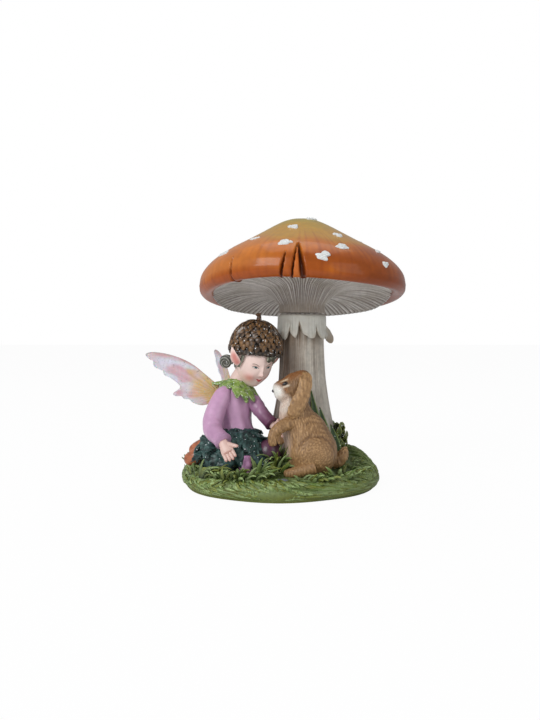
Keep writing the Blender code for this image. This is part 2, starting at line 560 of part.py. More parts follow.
def build_head(head, forms):
    """The head with its face and ears, the rolls of hair, and the acorn hat with its stalk."""
    turn = Matrix.Rotation(math.radians(HEAD_TURN), 4, "Z")
    at_head = Matrix.Translation(head) @ turn @ Matrix.Rotation(math.radians(HEAD_NOD), 4, "X")
    ellipsoid("head", (0, 0, 0), HEAD_RADII, forms, segments=18, relief=face_relief, placement=at_head)
    for side in (-1, 1):
        ear = Vector((side * (HEAD_RADII[0] + 0.0020), -0.0008, 0.0030))
        ellipsoid(f"ear_{side}", ear, (0.0011, 0.0024, EAR_LENGTH), forms, (-20, side * 30, 0), 8, placement=at_head)
        lock = Vector((side * 0.92 * HEAD_RADII[0], -0.32 * HEAD_RADII[1], 0.0005))
        ellipsoid(f"side_lock_{side}", lock, (0.0012, 0.0013, 0.0048), forms, segments=8, placement=at_head)
        roll = Vector((side * (HEAD_RADII[0] + 0.0012), 0.0094, -0.0038))
        ring = [(roll + Vector((side * 0.3 * HAIR_ROLL_RADIUS * math.sin(a), HAIR_ROLL_RADIUS * math.cos(a), HAIR_ROLL_RADIUS * math.sin(a)))) for a in (-2.5, -1.2, 0.1, 1.4, 2.7)]
        ring.append(Vector((side * 0.75 * HEAD_RADII[0], 0.0060, -0.0020)))
        limb(f"hair_roll_{side}", ring, [HAIR_ROLL_THICKNESS] * len(ring), forms, resolution=0, placement=at_head)

    at_hat = Matrix.Translation(head + Vector((0.0004, 0.0018, 0.0047))) @ turn @ Matrix.Rotation(math.radians(HAT_NOD), 4, "X")
    rings = 6
    dome = [(0.0, HAT_HEIGHT)]
    for ring in range(1, rings):
        rise = math.radians(90 * (1 - ring / rings))
        dome.append((HAT_RADIUS * math.cos(rise) ** 0.85, HAT_HEIGHT * math.sin(rise)))
    dome += [(HAT_RADIUS, 0.0), (0.93 * HAT_RADIUS, -0.0016), (0.5 * HAT_RADIUS, -0.0004), (0.0, -0.0004)]

    def scales(point):
        radius = math.hypot(point.x, point.y)
        if point.z < -0.0001 or radius < 0.1 * HAT_RADIUS:
            return point
        around = round(math.atan2(point.y, point.x) / math.tau * HAT_SCALES)
        row = round(rings * (1 - math.asin(min(1.0, point.z / HAT_HEIGHT)) / (math.pi / 2)))
        raised = HAT_SCALE_RELIEF if (around + row) % 2 else 0.0
        return point + Vector((point.x, point.y, point.z)).normalized() * raised

    turned("acorn_hat", dome, HAT_SCALES, forms, scales, at_hat)
    stalk = [Vector((0, 0, HAT_HEIGHT - 0.001)), Vector((0.0006, 0, HAT_HEIGHT + 0.6 * HAT_STALK_LENGTH)), Vector((0.0004, 0, HAT_HEIGHT + HAT_STALK_LENGTH))]
    limb("hat_stalk", stalk, (0.0013, 0.0010, 0.0011), forms, resolution=1, placement=at_hat)
    ellipsoid("stalk_knob", stalk[-1], (0.0016, 0.0016, 0.0013), forms, segments=8, placement=at_hat)


def build_rabbit(forms):
    """The rabbit, sitting up with its fore paws raised, and a pebble at its foot."""
    seat = Vector((RABBIT_X, RABBIT_Y, ground(RABBIT_X, RABBIT_Y) - RABBIT_SEAT_DEPTH))
    for name, (centre, radii, lean, segments) in RABBIT_FORMS.items():
        ellipsoid(name, seat + Vector(centre), radii, forms, (0, lean, 0), segments)
    radius = RABBIT_ARM_RADIUS
    near = ((-0.0110, -0.0055, 0.0285), (-0.0165, -0.0088, 0.0264), (-0.0203, -0.0098, 0.0228), (-0.0203, -0.0102, 0.0176))
    limb("rabbit_near_arm", [seat + Vector(p) for p in near], (1.2 * radius, radius, 0.85 * radius, 0.5 * radius), forms)
    far = ((-0.0120, 0.0050, 0.0270), (-0.0180, 0.0035, 0.0240), (-0.0165, 0.0005, 0.0170))
    limb("rabbit_far_arm", [seat + Vector(p) for p in far], (1.1 * radius, 0.9 * radius, 0.5 * radius), forms)
    pebble = Vector((0.0002, -0.0375, 0.0))
    pebble.z = ground(pebble.x, pebble.y) - 0.0014
    ellipsoid("pebble", pebble, (0.0036, 0.0026, 0.0018), forms, (0, 8, 20), 8)


def wing_plate(name, thickness, grow, heading, root, collection):
    """A wing: a flat outline in its own plane, thickened both ways. A grown one is the cutter for its slot."""
    curve = bpy.data.curves.new(name, "CURVE")
    curve.dimensions = "2D"
    curve.fill_mode = "BOTH"
    curve.extrude = thickness / 2
    outline = [(out * WING_SPAN, up * WING_HEIGHT) for out, up in WING_OUTLINE]
    tab_top = 0.24 * WING_HEIGHT + grow
    tab_foot = 0.02 * WING_HEIGHT - grow
    if grow:
        reach = 0.28 * WING_SPAN
        outline = [(reach, tab_top + 0.004), (reach, tab_foot - 0.004), (0.0, tab_foot - 0.004)]
        outline += [(0.0, tab_foot), (-WING_TAB - grow, tab_foot), (-WING_TAB - grow, tab_top), (0.0, tab_top), (0.0, tab_top + 0.004)]
    else:
        outline += [(0.0, tab_foot), (-WING_TAB, tab_foot), (-WING_TAB, tab_top), (0.0, tab_top)]
    spline = curve.splines.new("POLY")
    spline.points.add(len(outline) - 1)
    for control, (out, up) in zip(spline.points, outline):
        control.co = (out, up, 0.0, 1.0)
    spline.use_cyclic_u = True
    guide = new_object(name + "_guide", curve, collection)
    graph = bpy.context.evaluated_depsgraph_get()
    plate = bpy.data.meshes.new_from_object(guide.evaluated_get(graph))
    bpy.data.objects.remove(guide)
    shape = bmesh.new()
    shape.from_mesh(plate)
    bpy.data.meshes.remove(plate)
    stand_up = Matrix.Rotation(math.radians(90), 4, "X")
    shape.transform(Matrix.Translation(root) @ Matrix.Rotation(math.radians(heading), 4, "Z") @ stand_up)
    return new_form(name, shape, collection)


def build_wings(chest, collection, cutters, material):
    """The two wings and the slots that they are glued in, on the girl's back."""
    facing = Matrix.Rotation(math.radians(GIRL_TURN), 3, "Z")
    backward = facing @ Vector((0, 1, 0))
    her_left = facing @ Vector((1, 0, 0))
    middle = chest + backward * (TORSO_HALF_DEPTH - 0.0006) + Vector((0, 0, 0.04 * TORSO_HEIGHT))
    for name, side, heading in (("wing_right", -1, NEAR_WING_HEADING), ("wing_left", 1, FAR_WING_HEADING)):
        root = middle + her_left * side * WING_ROOT_GAP
        wing = wing_plate(name, WING_THICKNESS, 0.0, heading, root, collection)
        wing.hide_render = False
        wing.display_type = "TEXTURED"
        wing.data.materials.append(material)
        wing_plate(f"{name}_slot", WING_THICKNESS + 2 * SLOT_CLEARANCE, SLOT_CLEARANCE, heading, root, cutters)


def build_cap(forms, cutters):
    """The cap: skin, lip and gills as one turned form, tilted back, with the neck, spots, splits and socket."""
    rim = Vector((STEM_X, STEM_Y, CAP_RIM_Z))
    at_cap = Matrix.Translation(rim) @ Matrix.Rotation(math.radians(CAP_TILT), 4, "X").inverted()
    gill_edge = CAP_RADIUS - LIP_WIDTH
    profile = [(share * CAP_RADIUS, rise * CAP_HEIGHT) for share, rise in reversed(CAP_PROFILE)]
    profile += [
        (CAP_RADIUS - 0.08 * LIP_WIDTH, -0.6 * LIP_DEPTH), (CAP_RADIUS - 0.45 * LIP_WIDTH, -LIP_DEPTH), (gill_edge, -0.75 * LIP_DEPTH),
        (gill_edge - 0.001, -0.45 * LIP_DEPTH), (0.7 * gill_edge, -0.45 * LIP_DEPTH + 0.8 * GILL_DISH), (0.45 * gill_edge, -0.45 * LIP_DEPTH + 0.4 * GILL_DISH),
        (1.25 * NECK_RADIUS, -0.45 * LIP_DEPTH - 0.25 * GILL_FLARE), (0.96 * NECK_RADIUS, -GILL_FLARE), (0.0, -GILL_FLARE),
    ]
    gill_middle = 0.6 * gill_edge

    def gills(point):
        radius = math.hypot(point.x, point.y)
        around = math.atan2(point.y, point.x)
        share = (radius / CAP_RADIUS) ** 3
        point.z -= RIM_DROOP * share * math.exp(-(((math.degrees(around) + 58) / 38) ** 2))
        point.z += 0.45 * RIM_DROOP * share * math.exp(-(((math.degrees(around) + 125) / 35) ** 2))
        if point.z < -0.3 * LIP_DEPTH and NECK_RADIUS < radius < gill_edge - 0.0005 or 0 < point.z < 0.3 * GILL_DISH and radius < gill_middle * 1.4:
            point.z += GILL_RIDGE * (0.5 if round(around / math.tau * CAP_STEPS) % 2 else -0.5)
        elif point.z > 0.02 * CAP_HEIGHT:
            point.z += 0.006 * CAP_HEIGHT * math.sin(5 * around + 0.7) * math.sin(math.pi * radius / CAP_RADIUS)
        return point

    skin = turned("cap_skin", profile, CAP_STEPS, forms, gills, at_cap)
    neck_foot = STEM_TOP_Z + SOCKET_CLEARANCE
    neck = ((0.0, CAP_RIM_Z), (NECK_RADIUS, CAP_RIM_Z), (NECK_RADIUS, neck_foot), (0.0, neck_foot))
    at_stem = Matrix.Translation((STEM_X, STEM_Y, 0.0))
    turned("cap_neck", neck, 36, forms, placement=at_stem)
    socket_radius = SPIGOT_RADIUS + SOCKET_CLEARANCE
    socket_top = STEM_TOP_Z + SPIGOT_HEIGHT + SOCKET_CLEARANCE
    socket = ((0.0, socket_top), (socket_radius, socket_top), (socket_radius, neck_foot - 0.002), (0.0, neck_foot - 0.002))
    turned("socket", socket, 24, cutters, placement=at_stem)

    def height_at(share):
        for (far, low), (near, high) in zip(CAP_PROFILE, CAP_PROFILE[1:]):
            if near <= share <= far:
                return CAP_HEIGHT * (low + (high - low) * (far - share) / (far - near))
        return CAP_HEIGHT

    for number, (angle, share) in enumerate(CAP_SPOTS):
        slope = math.atan2(height_at(max(0.0, share - 0.04)) - height_at(min(1.0, share + 0.04)), 0.08 * CAP_RADIUS)
        place = at_cap @ Matrix.Rotation(math.radians(angle), 4, "Z") @ Matrix.Translation((share * CAP_RADIUS, 0, height_at(share)))
        place = place @ Matrix.Rotation(slope, 4, "Y")
        size = SPOT_RADIUS * (0.75 + 0.25 * math.sin(2.3 * number))

        def lobes(point, size=size, number=number):
            around = math.atan2(point.y, point.x)
            radius = math.hypot(point.x, point.y) * (1 + 0.2 * math.sin(3 * around + number))
            return Vector((radius * math.cos(around) * 0.75, radius * math.sin(around), point.z))

        disc = ((0.0, SPOT_HEIGHT), (0.75 * size, 0.85 * SPOT_HEIGHT), (size, -0.6 * SPOT_HEIGHT), (0.0, -1.6 * SPOT_HEIGHT))
        turned(f"spot_{number}", disc, 8, forms, lobes, place)

    for number, (angle, share) in enumerate(CAP_SPLITS):
        shape = bmesh.new()
        bmesh.ops.create_cone(shape, cap_ends=True, segments=4, radius1=1.0, radius2=0.0, depth=1.0)
        depth = SPLIT_DEPTH * share
        shape.transform(Matrix.Diagonal((2.2 * depth, 0.5 * SPLIT_WIDTH * share, 0.022 * share + LIP_DEPTH, 1.0)))
        upright = Matrix.Rotation(math.radians(-28), 4, "Y")
        rim_place = at_cap @ Matrix.Rotation(math.radians(angle), 4, "Z") @ Matrix.Translation((CAP_RADIUS + 0.3 * depth, 0, 0.10 * CAP_HEIGHT))
        shape.transform(rim_place @ upright)
        new_form(f"split_{number}", shape, cutters)
    return skin


def main():
    for old in list(bpy.data.objects):
        bpy.data.objects.remove(old)
    figurine = new_collection("fairy_figurine")
    casting_forms = new_collection("casting_forms", shown=False)
    casting_cutters = new_collection("casting_cutters", shown=False)
    cap_forms = new_collection("cap_forms", shown=False)
    cap_cutters = new_collection("cap_cutters", shown=False)

    turf = build_base(casting_forms)
    build_grass(casting_forms)
    build_stem(casting_forms)
    chest = build_girl(casting_forms)
    build_rabbit(casting_forms)
    build_wings(chest, figurine, casting_cutters, new_material("wing_resin", WING_PINK, 0.35))
    skin = build_cap(cap_forms, cap_cutters)

    painted = new_material("painted_resin", TURF_GREEN, 0.55)
    glossy = new_material("cap_resin", CAP_ORANGE, 0.3)
    united("figurine_casting", turf, casting_forms, casting_cutters, painted, figurine)
    united("mushroom_cap", skin, cap_forms, cap_cutters, glossy, figurine)


main()
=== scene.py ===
"""A painted resin figurine: a kneeling fairy girl and a rabbit under a toadstool, on an oval of turf.

Each section makes one casting, or one part of a casting, as a surface worked out on a grid, and paints it.
Metres, +Z up. The front of the figurine is towards -Y, and it stands on Z = 0.
"""

import bpy
import numpy as np
from numpy import array, concatenate, cos, exp, linspace, pi, radians, sin, stack
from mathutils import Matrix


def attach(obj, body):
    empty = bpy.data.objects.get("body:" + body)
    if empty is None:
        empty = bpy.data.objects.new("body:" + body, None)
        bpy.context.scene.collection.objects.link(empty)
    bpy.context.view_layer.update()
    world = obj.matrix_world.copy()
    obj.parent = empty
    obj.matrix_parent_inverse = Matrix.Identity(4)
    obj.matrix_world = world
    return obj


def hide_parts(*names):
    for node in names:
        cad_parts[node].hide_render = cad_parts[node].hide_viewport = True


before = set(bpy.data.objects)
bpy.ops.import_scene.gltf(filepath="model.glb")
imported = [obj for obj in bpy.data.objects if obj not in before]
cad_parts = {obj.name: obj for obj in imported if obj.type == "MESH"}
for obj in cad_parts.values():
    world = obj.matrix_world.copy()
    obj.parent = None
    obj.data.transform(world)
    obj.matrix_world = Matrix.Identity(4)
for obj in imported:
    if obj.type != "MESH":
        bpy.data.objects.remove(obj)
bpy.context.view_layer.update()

# The stage. A pale floor and white surround, three soft boxes over the figurine, and the camera at the
# photograph's angle, level with the toadstool's gills and tipped down a little.


def add_light(name, place, energy, width, aim=(0.0, 0.0, 0.07)):
    """A square soft box at a place, turned towards the aim point."""
    lamp = bpy.data.lights.new(name, "AREA")
    lamp.shape = "SQUARE"
    lamp.size = width
    lamp.energy = energy
    holder = bpy.data.objects.new(name, lamp)
    bpy.context.scene.collection.objects.link(holder)
    holder.location = place
    away = holder.location - type(holder.location)(aim)
    holder.rotation_euler = away.to_track_quat("Z", "Y").to_euler()


add_light("key_box", (-0.62, -0.74, 0.62), 6.2, 0.55)
add_light("fill_box", (0.75, -0.65, 0.45), 1.3, 0.6)
add_light("top_box", (0.05, 0.25, 1.0), 2.0, 0.7)


def plug(tree, node, sockets):
    """Each named input of a node gets a value, or a link from another node's output."""
    for socket, value in sockets.items():
        if isinstance(value, bpy.types.NodeSocket):
            tree.links.new(value, node.inputs[socket])
        else:
            node.inputs[socket].default_value = value
    return node


def add_node(tree, kind, sockets=None, **settings):
    """A new node of a kind. Its settings come first, because they change which inputs it has."""
    node = tree.nodes.new("ShaderNode" + kind)
    for name, value in settings.items():
        setattr(node, name, value)
    return plug(tree, node, sockets or {})


surround = bpy.data.worlds.new("studio_surround")
bpy.context.scene.world = surround
surround.use_nodes = True
tree = surround.node_tree
tree.nodes.clear()
rays = add_node(tree, "LightPath").outputs
direct = add_node(tree, "Math", {0: rays["Is Camera Ray"], 1: rays["Is Transmission Ray"]},
    operation="MAXIMUM")
soft = add_node(tree, "Background", {"Color": (0.93, 0.96, 1.0, 1.0), "Strength": 0.42})
white = add_node(tree, "Background", {"Color": (1.0, 1.0, 1.0, 1.0), "Strength": 1.0})
chosen = add_node(tree, "MixShader", {0: direct.outputs[0], 1: soft.outputs[0], 2: white.outputs[0]})
add_node(tree, "OutputWorld", {"Surface": chosen.outputs[0]})

FLOOR_REACH = 3
corners = [(x * FLOOR_REACH, y * FLOOR_REACH, 0) for x, y in ((-1, -1), (1, -1), (1, 1), (-1, 1))]
floor_mesh = bpy.data.meshes.new("floor")
floor_mesh.from_pydata(corners, [], [(0, 1, 2, 3)])
floor = bpy.data.objects.new("floor", floor_mesh)
bpy.context.scene.collection.objects.link(floor)
paper = bpy.data.materials.new("white_paper")
paper.use_nodes = True
tree = paper.node_tree
tree.nodes.clear()
rays = add_node(tree, "LightPath").outputs
share = add_node(tree, "Math", {0: rays["Is Camera Ray"], 1: 0.96}, operation="MULTIPLY")
grain = add_node(tree, "TexNoise", {"Scale": 40.0})
greys = {"A": (0.90, 0.90, 0.90, 1.0), "B": (0.94, 0.94, 0.94, 1.0)}
toned = add_node(tree, "Mix", {"Factor": grain.outputs[0], **greys}, data_type="RGBA")
matt = add_node(tree, "BsdfDiffuse", {"Color": toned.outputs["Result"]})
glow = add_node(tree, "Emission", {"Strength": 1.0})
mixed = add_node(tree, "MixShader", {0: share.outputs[0], 1: matt.outputs[0], 2: glow.outputs[0]})
add_node(tree, "OutputMaterial", {"Surface": mixed.outputs[0]})
floor_mesh.materials.append(paper)

lens = bpy.data.cameras.new("photo_camera")
lens.lens = 36.0
lens.sensor_width = 36.0
camera = bpy.data.objects.new("photo_camera", lens)
bpy.context.scene.collection.objects.link(camera)
camera.location = (-0.0056, -0.400, 0.088)
camera.rotation_euler = (pi / 2 - np.arctan(34.0 / 720.0), 0.0, 0.0)
bpy.context.scene.camera = camera
bpy.context.scene.view_settings.view_transform = "Standard"

# The turf. An oval mound with a flat underside, swelling under the girl and behind the rabbit. It is cast
# with combed strokes of grass in its skin and painted in olive and sage over a dark green.
HALF_WIDTH = 0.0555
HALF_DEPTH = 0.048
TURF_TOP = 0.0095
GIRL_SEAT = (-0.0280, -0.0060)
MOUND = (0.0416, 0.0240)
MOSS_DARK = (50, 62, 24)
MOSS_OLIVE = (126, 132, 46)
MOSS_MID = (104, 130, 56)
MOSS_SAGE = (164, 186, 122)


def paint(*screen):
    """Paint named by its red, green and blue on a screen, 0 to 255, turned into linear light."""
    share = array(screen, float) / 255.0
    return np.where(share <= 0.04045, share / 12.92, ((share + 0.055) / 1.055) ** 2.4)


def blend(first, second, share):
    """First paint to second paint, point by point, by a share from 0 to 1."""
    share = np.clip(np.asarray(share, float), 0.0, 1.0)[..., None]
    return first + (second - first) * share


def coats(tint, *layers):
    """Paint in coats: over a first tint, each layer is a colour and its share at each point."""
    tint = paint(*tint) if isinstance(tint, tuple) else tint
    for colour, share in layers:
        tint = blend(tint, paint(*colour), share)
    return tint


def swell(value, low, high):
    """0 below low, 1 above high, and an S-curve between them."""
    share = np.clip((value - low) / (high - low), 0.0, 1.0)
    return share * share * (3.0 - 2.0 * share)


def hill(value, wide):
    """A soft hill from 0 to 1: e to the minus squared value, measured in widths."""
    return exp(-((value / wide) ** 2))


def xyz(x, y, z):
    """Points put together from their three coordinates, each spread over the grid of the others."""
    return stack(np.broadcast_arrays(x, y, z), axis=-1)


def mottle(points, size, seed):
    """Uneven tone from -1 to 1: twelve plane waves about the given size long, in seeded directions."""
    chance = np.random.default_rng(seed)
    ways = chance.normal(size=(12, 3))
    ways *= (
        (2 * pi / size) * chance.uniform(0.6, 1.6, (12, 1)) / np.linalg.norm(ways, axis=1, keepdims=True)
    )
    return sin(points @ ways.T + chance.uniform(0, 2 * pi, 12)).sum(axis=-1) / 4.0


def mm(*rows):
    """Rows of sizes given in millimetres, in metres."""
    return array(rows) * 0.001


def flow(points, rows):
    """A smooth path through the points: each stretch is a Hermite cubic with slopes from its neighbours."""
    points = array(points, float)
    slopes = np.gradient(points, axis=0)
    place = linspace(0.0, len(points) - 1.0, rows)
    start = np.minimum(place.astype(int), len(points) - 2)
    t = (place - start).reshape((-1,) + (1,) * (points.ndim - 1))
    a, b, da, db = points[start], points[start + 1], slopes[start], slopes[start + 1]
    return (
        a * (1 + 2 * t) * (1 - t) ** 2 + da * t * (1 - t) ** 2 + b * t * t * (3 - 2 * t)
        + db * t * t * (t - 1)
    )


def circle(columns):
    """Angles evenly spaced round a full turn."""
    return linspace(0, 2 * pi, columns, endpoint=False)


def unit(ways):
    """Each way divided by its length."""
    return ways / (np.linalg.norm(ways, axis=-1, keepdims=True) + 1e-12)


def outward(grid):
    """Unit normals of a closed skin: the cross product of its slopes, facing away from its middle."""
    along = np.gradient(grid, axis=-3)
    around = np.roll(grid, -1, axis=-2) - np.roll(grid, 1, axis=-2)
    out = unit(np.cross(around, along))
    middle = grid.mean(axis=(-3, -2), keepdims=True)
    side = np.sign(((grid - middle) * out).sum(axis=(-3, -2, -1), keepdims=True))
    return out * side


def skin(name, grids, tint, material, node="figurine_casting"):
    """Closed skins in one piece: rows run along, columns round, and a point closes each end."""
    grids = array(grids, float)
    grids = grids[None] if grids.ndim == 3 else grids
    count, rows, columns = grids.shape[:3]
    tints = np.broadcast_to(tint, grids.shape)
    points = concatenate([grids.reshape(count, -1, 3), grids[:, [0, -1]].mean(axis=2)], axis=1)
    shades = concatenate([tints.reshape(count, -1, 3), tints[:, [0, -1]].mean(axis=2)], axis=1)
    here = np.arange(rows * columns).reshape(rows, columns)
    beside = np.roll(here, -1, axis=1)
    ends = np.full(columns, rows * columns)
    quads = stack([here[:-1], beside[:-1], beside[1:], here[1:]], axis=-1).reshape(-1, 4)
    caps = concatenate([stack([beside[0], here[0], ends], -1), stack([here[-1], beside[-1], ends + 1], -1)])
    corners = points[:, concatenate([quads[:, [0, 1, 2]], quads[:, [0, 2, 3]], caps])]
    volume = np.einsum("nfi,nfi->n", corners[:, :, 0], np.cross(corners[:, :, 1], corners[:, :, 2]))
    shift = np.arange(count)[:, None, None] * points.shape[1]
    turned = (volume < 0)[:, None, None]
    quads = np.where(turned, quads[None, :, ::-1], quads[None]) + shift
    caps = np.where(turned, caps[None, :, ::-1], caps[None]) + shift
    corner = concatenate([quads.reshape(-1), caps.reshape(-1)])
    starts = concatenate([np.arange(quads.size // 4) * 4, quads.size + np.arange(caps.size // 3) * 3])
    mesh = bpy.data.meshes.new(name)
    mesh.vertices.add(points.size // 3)
    mesh.vertices.foreach_set("co", points.astype(np.float32).reshape(-1))
    mesh.loops.add(corner.size)
    mesh.loops.foreach_set("vertex_index", corner.astype(np.int32))
    mesh.polygons.add(starts.size)
    mesh.polygons.foreach_set("loop_start", starts.astype(np.int32))
    mesh.update(calc_edges=True)
    mesh.polygons.foreach_set("use_smooth", np.ones(starts.size, bool))
    colour = mesh.attributes.new("tint", "FLOAT_COLOR", "POINT")
    full = concatenate([shades.reshape(-1, 3), np.ones((points.size // 3, 1))], axis=1)
    colour.data.foreach_set("color", full.astype(np.float32).reshape(-1))
    mesh.materials.append(material)
    piece = bpy.data.objects.new(name, mesh)
    bpy.context.scene.collection.objects.link(piece)
    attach(piece, "root")
    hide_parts(node)
    return piece


def resin(
    name, roughness=0.5, coat=0.0, uneven=0.16, patch=900.0, bump=0.25, grain=2600.0, glitter=0.0, more=None
):
    """Painted resin: the painter's tint, toned by two noises, with fine grain and white glitter."""
    material = bpy.data.materials.new(name)
    material.use_nodes = True
    tree = material.node_tree
    place = add_node(tree, "TexCoord").outputs["Object"]
    tint = add_node(tree, "Attribute", attribute_name="tint").outputs["Color"]
    brushed = add_node(tree, "TexNoise", {"Vector": place, "Scale": patch, "Detail": 4.0}).outputs["Fac"]
    spread = {"From Min": 0.3, "From Max": 0.7, "To Min": 1.0 - uneven, "To Max": 1.0 + uneven}
    tone = add_node(tree, "MapRange", {"Value": brushed, **spread}).outputs["Result"]
    shade = add_node(tree, "VectorMath", {0: tint, "Scale": tone}, operation="SCALE").outputs["Vector"]
    spread = {"To Min": roughness - 0.08, "To Max": roughness + 0.08}
    gloss = add_node(tree, "MapRange", {"Value": brushed, **spread}).outputs["Result"]
    if glitter:
        cells = add_node(tree, "TexVoronoi", {"Vector": place, "Scale": 1500.0}).outputs
        near = add_node(tree, "Math", {0: cells["Distance"], 1: 0.42}, operation="LESS_THAN")
        part = add_node(tree, "SeparateColor", {0: cells["Color"]})
        few = add_node(tree, "Math", {0: part.outputs[0], 1: glitter}, operation="LESS_THAN")
        fleck = add_node(tree, "Math", {0: near.outputs[0], 1: few.outputs[0]},
            operation="MULTIPLY").outputs[0]
        frosted = {"Factor": fleck, "A": shade, "B": (0.86, 0.88, 0.9, 1.0)}
        shade = add_node(tree, "Mix", frosted, data_type="RGBA").outputs["Result"]
        gloss = add_node(tree, "Mix", {"Factor": fleck, "A": gloss, "B": 0.15}).outputs["Result"]
    fine = add_node(tree, "TexNoise", {"Vector": place, "Scale": grain, "Detail": 3.0}).outputs["Fac"]
    raised = add_node(tree, "Bump", {"Strength": bump, "Distance": 0.0002,
        "Height": fine}).outputs["Normal"]
    finish = {"Base Color": shade, "Roughness": gloss, "Normal": raised, "Coat Weight": coat,
        "Coat Roughness": 0.12}
    plug(tree, tree.nodes["Principled BSDF"], {**finish, **(more or {})})
    return material


def ground(x, y):
    """Height of the turf's top: its level, a low swell under the girl and a mound behind the rabbit."""
    girl = exp(-((x - GIRL_SEAT[0]) ** 2 + (y - GIRL_SEAT[1]) ** 2) / 0.0009)
    mound = exp(-((x - MOUND[0]) ** 2 + (y - MOUND[1]) ** 2) / 0.000225)
    return TURF_TOP + 0.0025 * girl + 0.0085 * mound


turf_profile = flow(((0.02, 1.0), (0.35, 1.0), (0.66, 1.0), (0.83, 0.98), (0.93, 0.90), (0.966, 0.72),
    (0.982, 0.46), (0.975, 0.2), (0.955, 0.0)), 800)
turf_profile = concatenate([turf_profile, [(0.02, 0.0)]])
turf_marks = np.append(linspace(0.0, 0.889, 800), 1.0)
turf_profile[:, 1] = np.clip(turf_profile[:, 1], 0.0, 1.0)


def turf_place(along, angle):
    """A point of the turf's skin: a share along its profile, and an angle round its wavering oval."""
    share = np.interp(along, turf_marks, turf_profile[:, 0])
    rise = np.interp(along, turf_marks, turf_profile[:, 1])
    waver = 1 + 0.015 * sin(3 * angle + 0.6) + 0.01 * sin(7 * angle)
    x = HALF_WIDTH * share * cos(angle) * waver
    y = HALF_DEPTH * share * sin(angle) * waver
    return xyz(x, y, ground(x, y) * rise)


along = concatenate([linspace(0.0, 0.2, 8)[:-1], linspace(0.2, 0.89, 50), linspace(0.91, 1.0, 4)])[:, None]
angle = circle(420)[None]
turf_grid = turf_place(along, angle)
slant = 1.3 * sin(4 * angle + 0.7) + 0.7 * sin(9 * angle)
phase = 88 * angle + slant * 22 * along + 4.5 * mottle(turf_grid, 0.022, 1)
comb = (0.5 + 0.5 * sin(phase)) ** 1.3 * swell(along, 0.05, 0.2) * (1 - swell(along, 0.80, 0.87))
turf_grid = (
    turf_grid + outward(turf_grid) * (0.00022 * (comb - 0.6 * swell(along, 0.05, 0.2)
    * (1 - swell(along, 0.80, 0.87))))[..., None]
)
turf_grid[..., 2] = np.maximum(turf_grid[..., 2], 0.0)
low = 1 - swell(turf_grid[..., 2], 0.0015, 0.007)
patchy = mottle(turf_grid, 0.018, 2)
turf_tint = coats(
    MOSS_MID,
    (MOSS_SAGE, 0.45 + 0.5 * patchy),
    (MOSS_OLIVE, 0.85 * low + 0.3 * mottle(turf_grid, 0.03, 3)),
    # Painted shade: a dull dark olive over the turf's right side (+X).
    ((84, 96, 36), 0.5 * swell(turf_grid[..., 0], 0.010, 0.045)),
    (MOSS_DARK, 0.45 * (turf_grid[..., 2] > 0.0004)),
    (MOSS_DARK, 0.30 * (1 - comb) * (1 - low) * (turf_grid[..., 2] > 0.0004)),
)
turf_resin = resin("turf_resin", roughness=0.55, uneven=0.2, patch=700.0)
skin("turf", turf_grid, turf_tint, turf_resin)

# The grass. Thick curled blades in relief: combed ones lie on the rim, tufts stand before the skirt, beside
# the rabbit and on the mound. They are one casting with the turf, dark at the root and pale along the tip.


def tube(path, radii, columns, flat=1.0, up=(0.0, 0.0, 1.0)):
    """An oval section carried along each path: radius times cosine across it, and flat times sine over it."""
    path = np.asarray(path, float)
    radii = np.asarray(radii, float)[..., None, None]
    way = np.gradient(path, axis=-2)
    across = unit(np.cross(way, np.broadcast_to(up, way.shape)))
    over = unit(np.cross(across, way))
    angle = circle(columns)[:, None]
    section = cos(angle) * across[..., None, :] + flat * sin(angle) * over[..., None, :]
    return path[..., None, :] + radii * section


def taper(rows, places, widths):
    """Widths of a limb in one row: straight from each place along it, a share from 0 to 1, to the next."""
    return np.interp(linspace(0, 1, rows), places, widths)[None]


def grass_paint(count, share, chance):
    """One tone a blade, sage, mid or olive, from dark at the root to its own tone by the share along."""
    pick = chance.uniform(0, 1, (count, 1, 1))
    light = coats(
        MOSS_MID,
        (MOSS_SAGE, 1.3 * pick),
        (MOSS_OLIVE, 0.8 * (chance.uniform(0, 1, (count, 1, 1)) > 0.70)),
    )
    light = light * chance.uniform(0.70, 1.25, (count, 1, 1, 1))
    return paint(*MOSS_DARK) + (light - paint(*MOSS_DARK)) * share[..., None]


chance = np.random.default_rng(11)
count = 1700
start_angle = chance.uniform(0, 2 * pi, count)
start_along = chance.uniform(0.26, 0.76, count)
rim_stroke = swell(start_along, 0.48, 0.66)
sweep = (
    0.30 * rim_stroke + 0.15 * sin(2 * start_angle + 4.0) + 0.07 * sin(9 * start_angle)
    + chance.normal(0, 0.05, count)
)
share = linspace(0, 1, 6)[None]
reach = (chance.uniform(0.07, 0.17, count) * (1 - 0.6 * rim_stroke))[:, None]
path = turf_place(start_along[:, None] + reach * share, start_angle[:, None] + sweep[:, None] * share**1.5)
push = path * array((1.0, 1.2, 0.0)) / 0.05
lift = unit(xyz(push[..., 0], push[..., 1], np.full(path.shape[:2], 0.9)))
path = path + lift * (0.0008 * sin(pi * share) - 0.0002)[..., None]
stroke = array((0.5, 0.95, 1.05, 0.9, 0.6, 0.12))[None] * chance.uniform(0.00042, 0.00082, count)[:, None]
combed = tube(path, stroke, 5, 0.75, up=lift)
oval = np.hypot(combed[..., 0] / (0.996 * HALF_WIDTH), combed[..., 1] / (0.996 * HALF_DEPTH))
combed[..., :2] /= np.maximum(oval, 1.0)[..., None]
combed[..., 2] = np.maximum(combed[..., 2], 0.0003)
combed_tint = grass_paint(count, np.clip(0.30 + 0.9 * share, 0, 1)[..., None], chance)
combed_tint = coats(
    combed_tint,
    # Painted shade: the same dull olive over the combed blades on the right side (+X).
    ((84, 96, 36), 0.45 * swell(combed[..., 0], 0.010, 0.045)),
    ((100, 106, 40), 0.6 * (1 - swell(combed[..., 2], 0.0005, 0.004))),
)
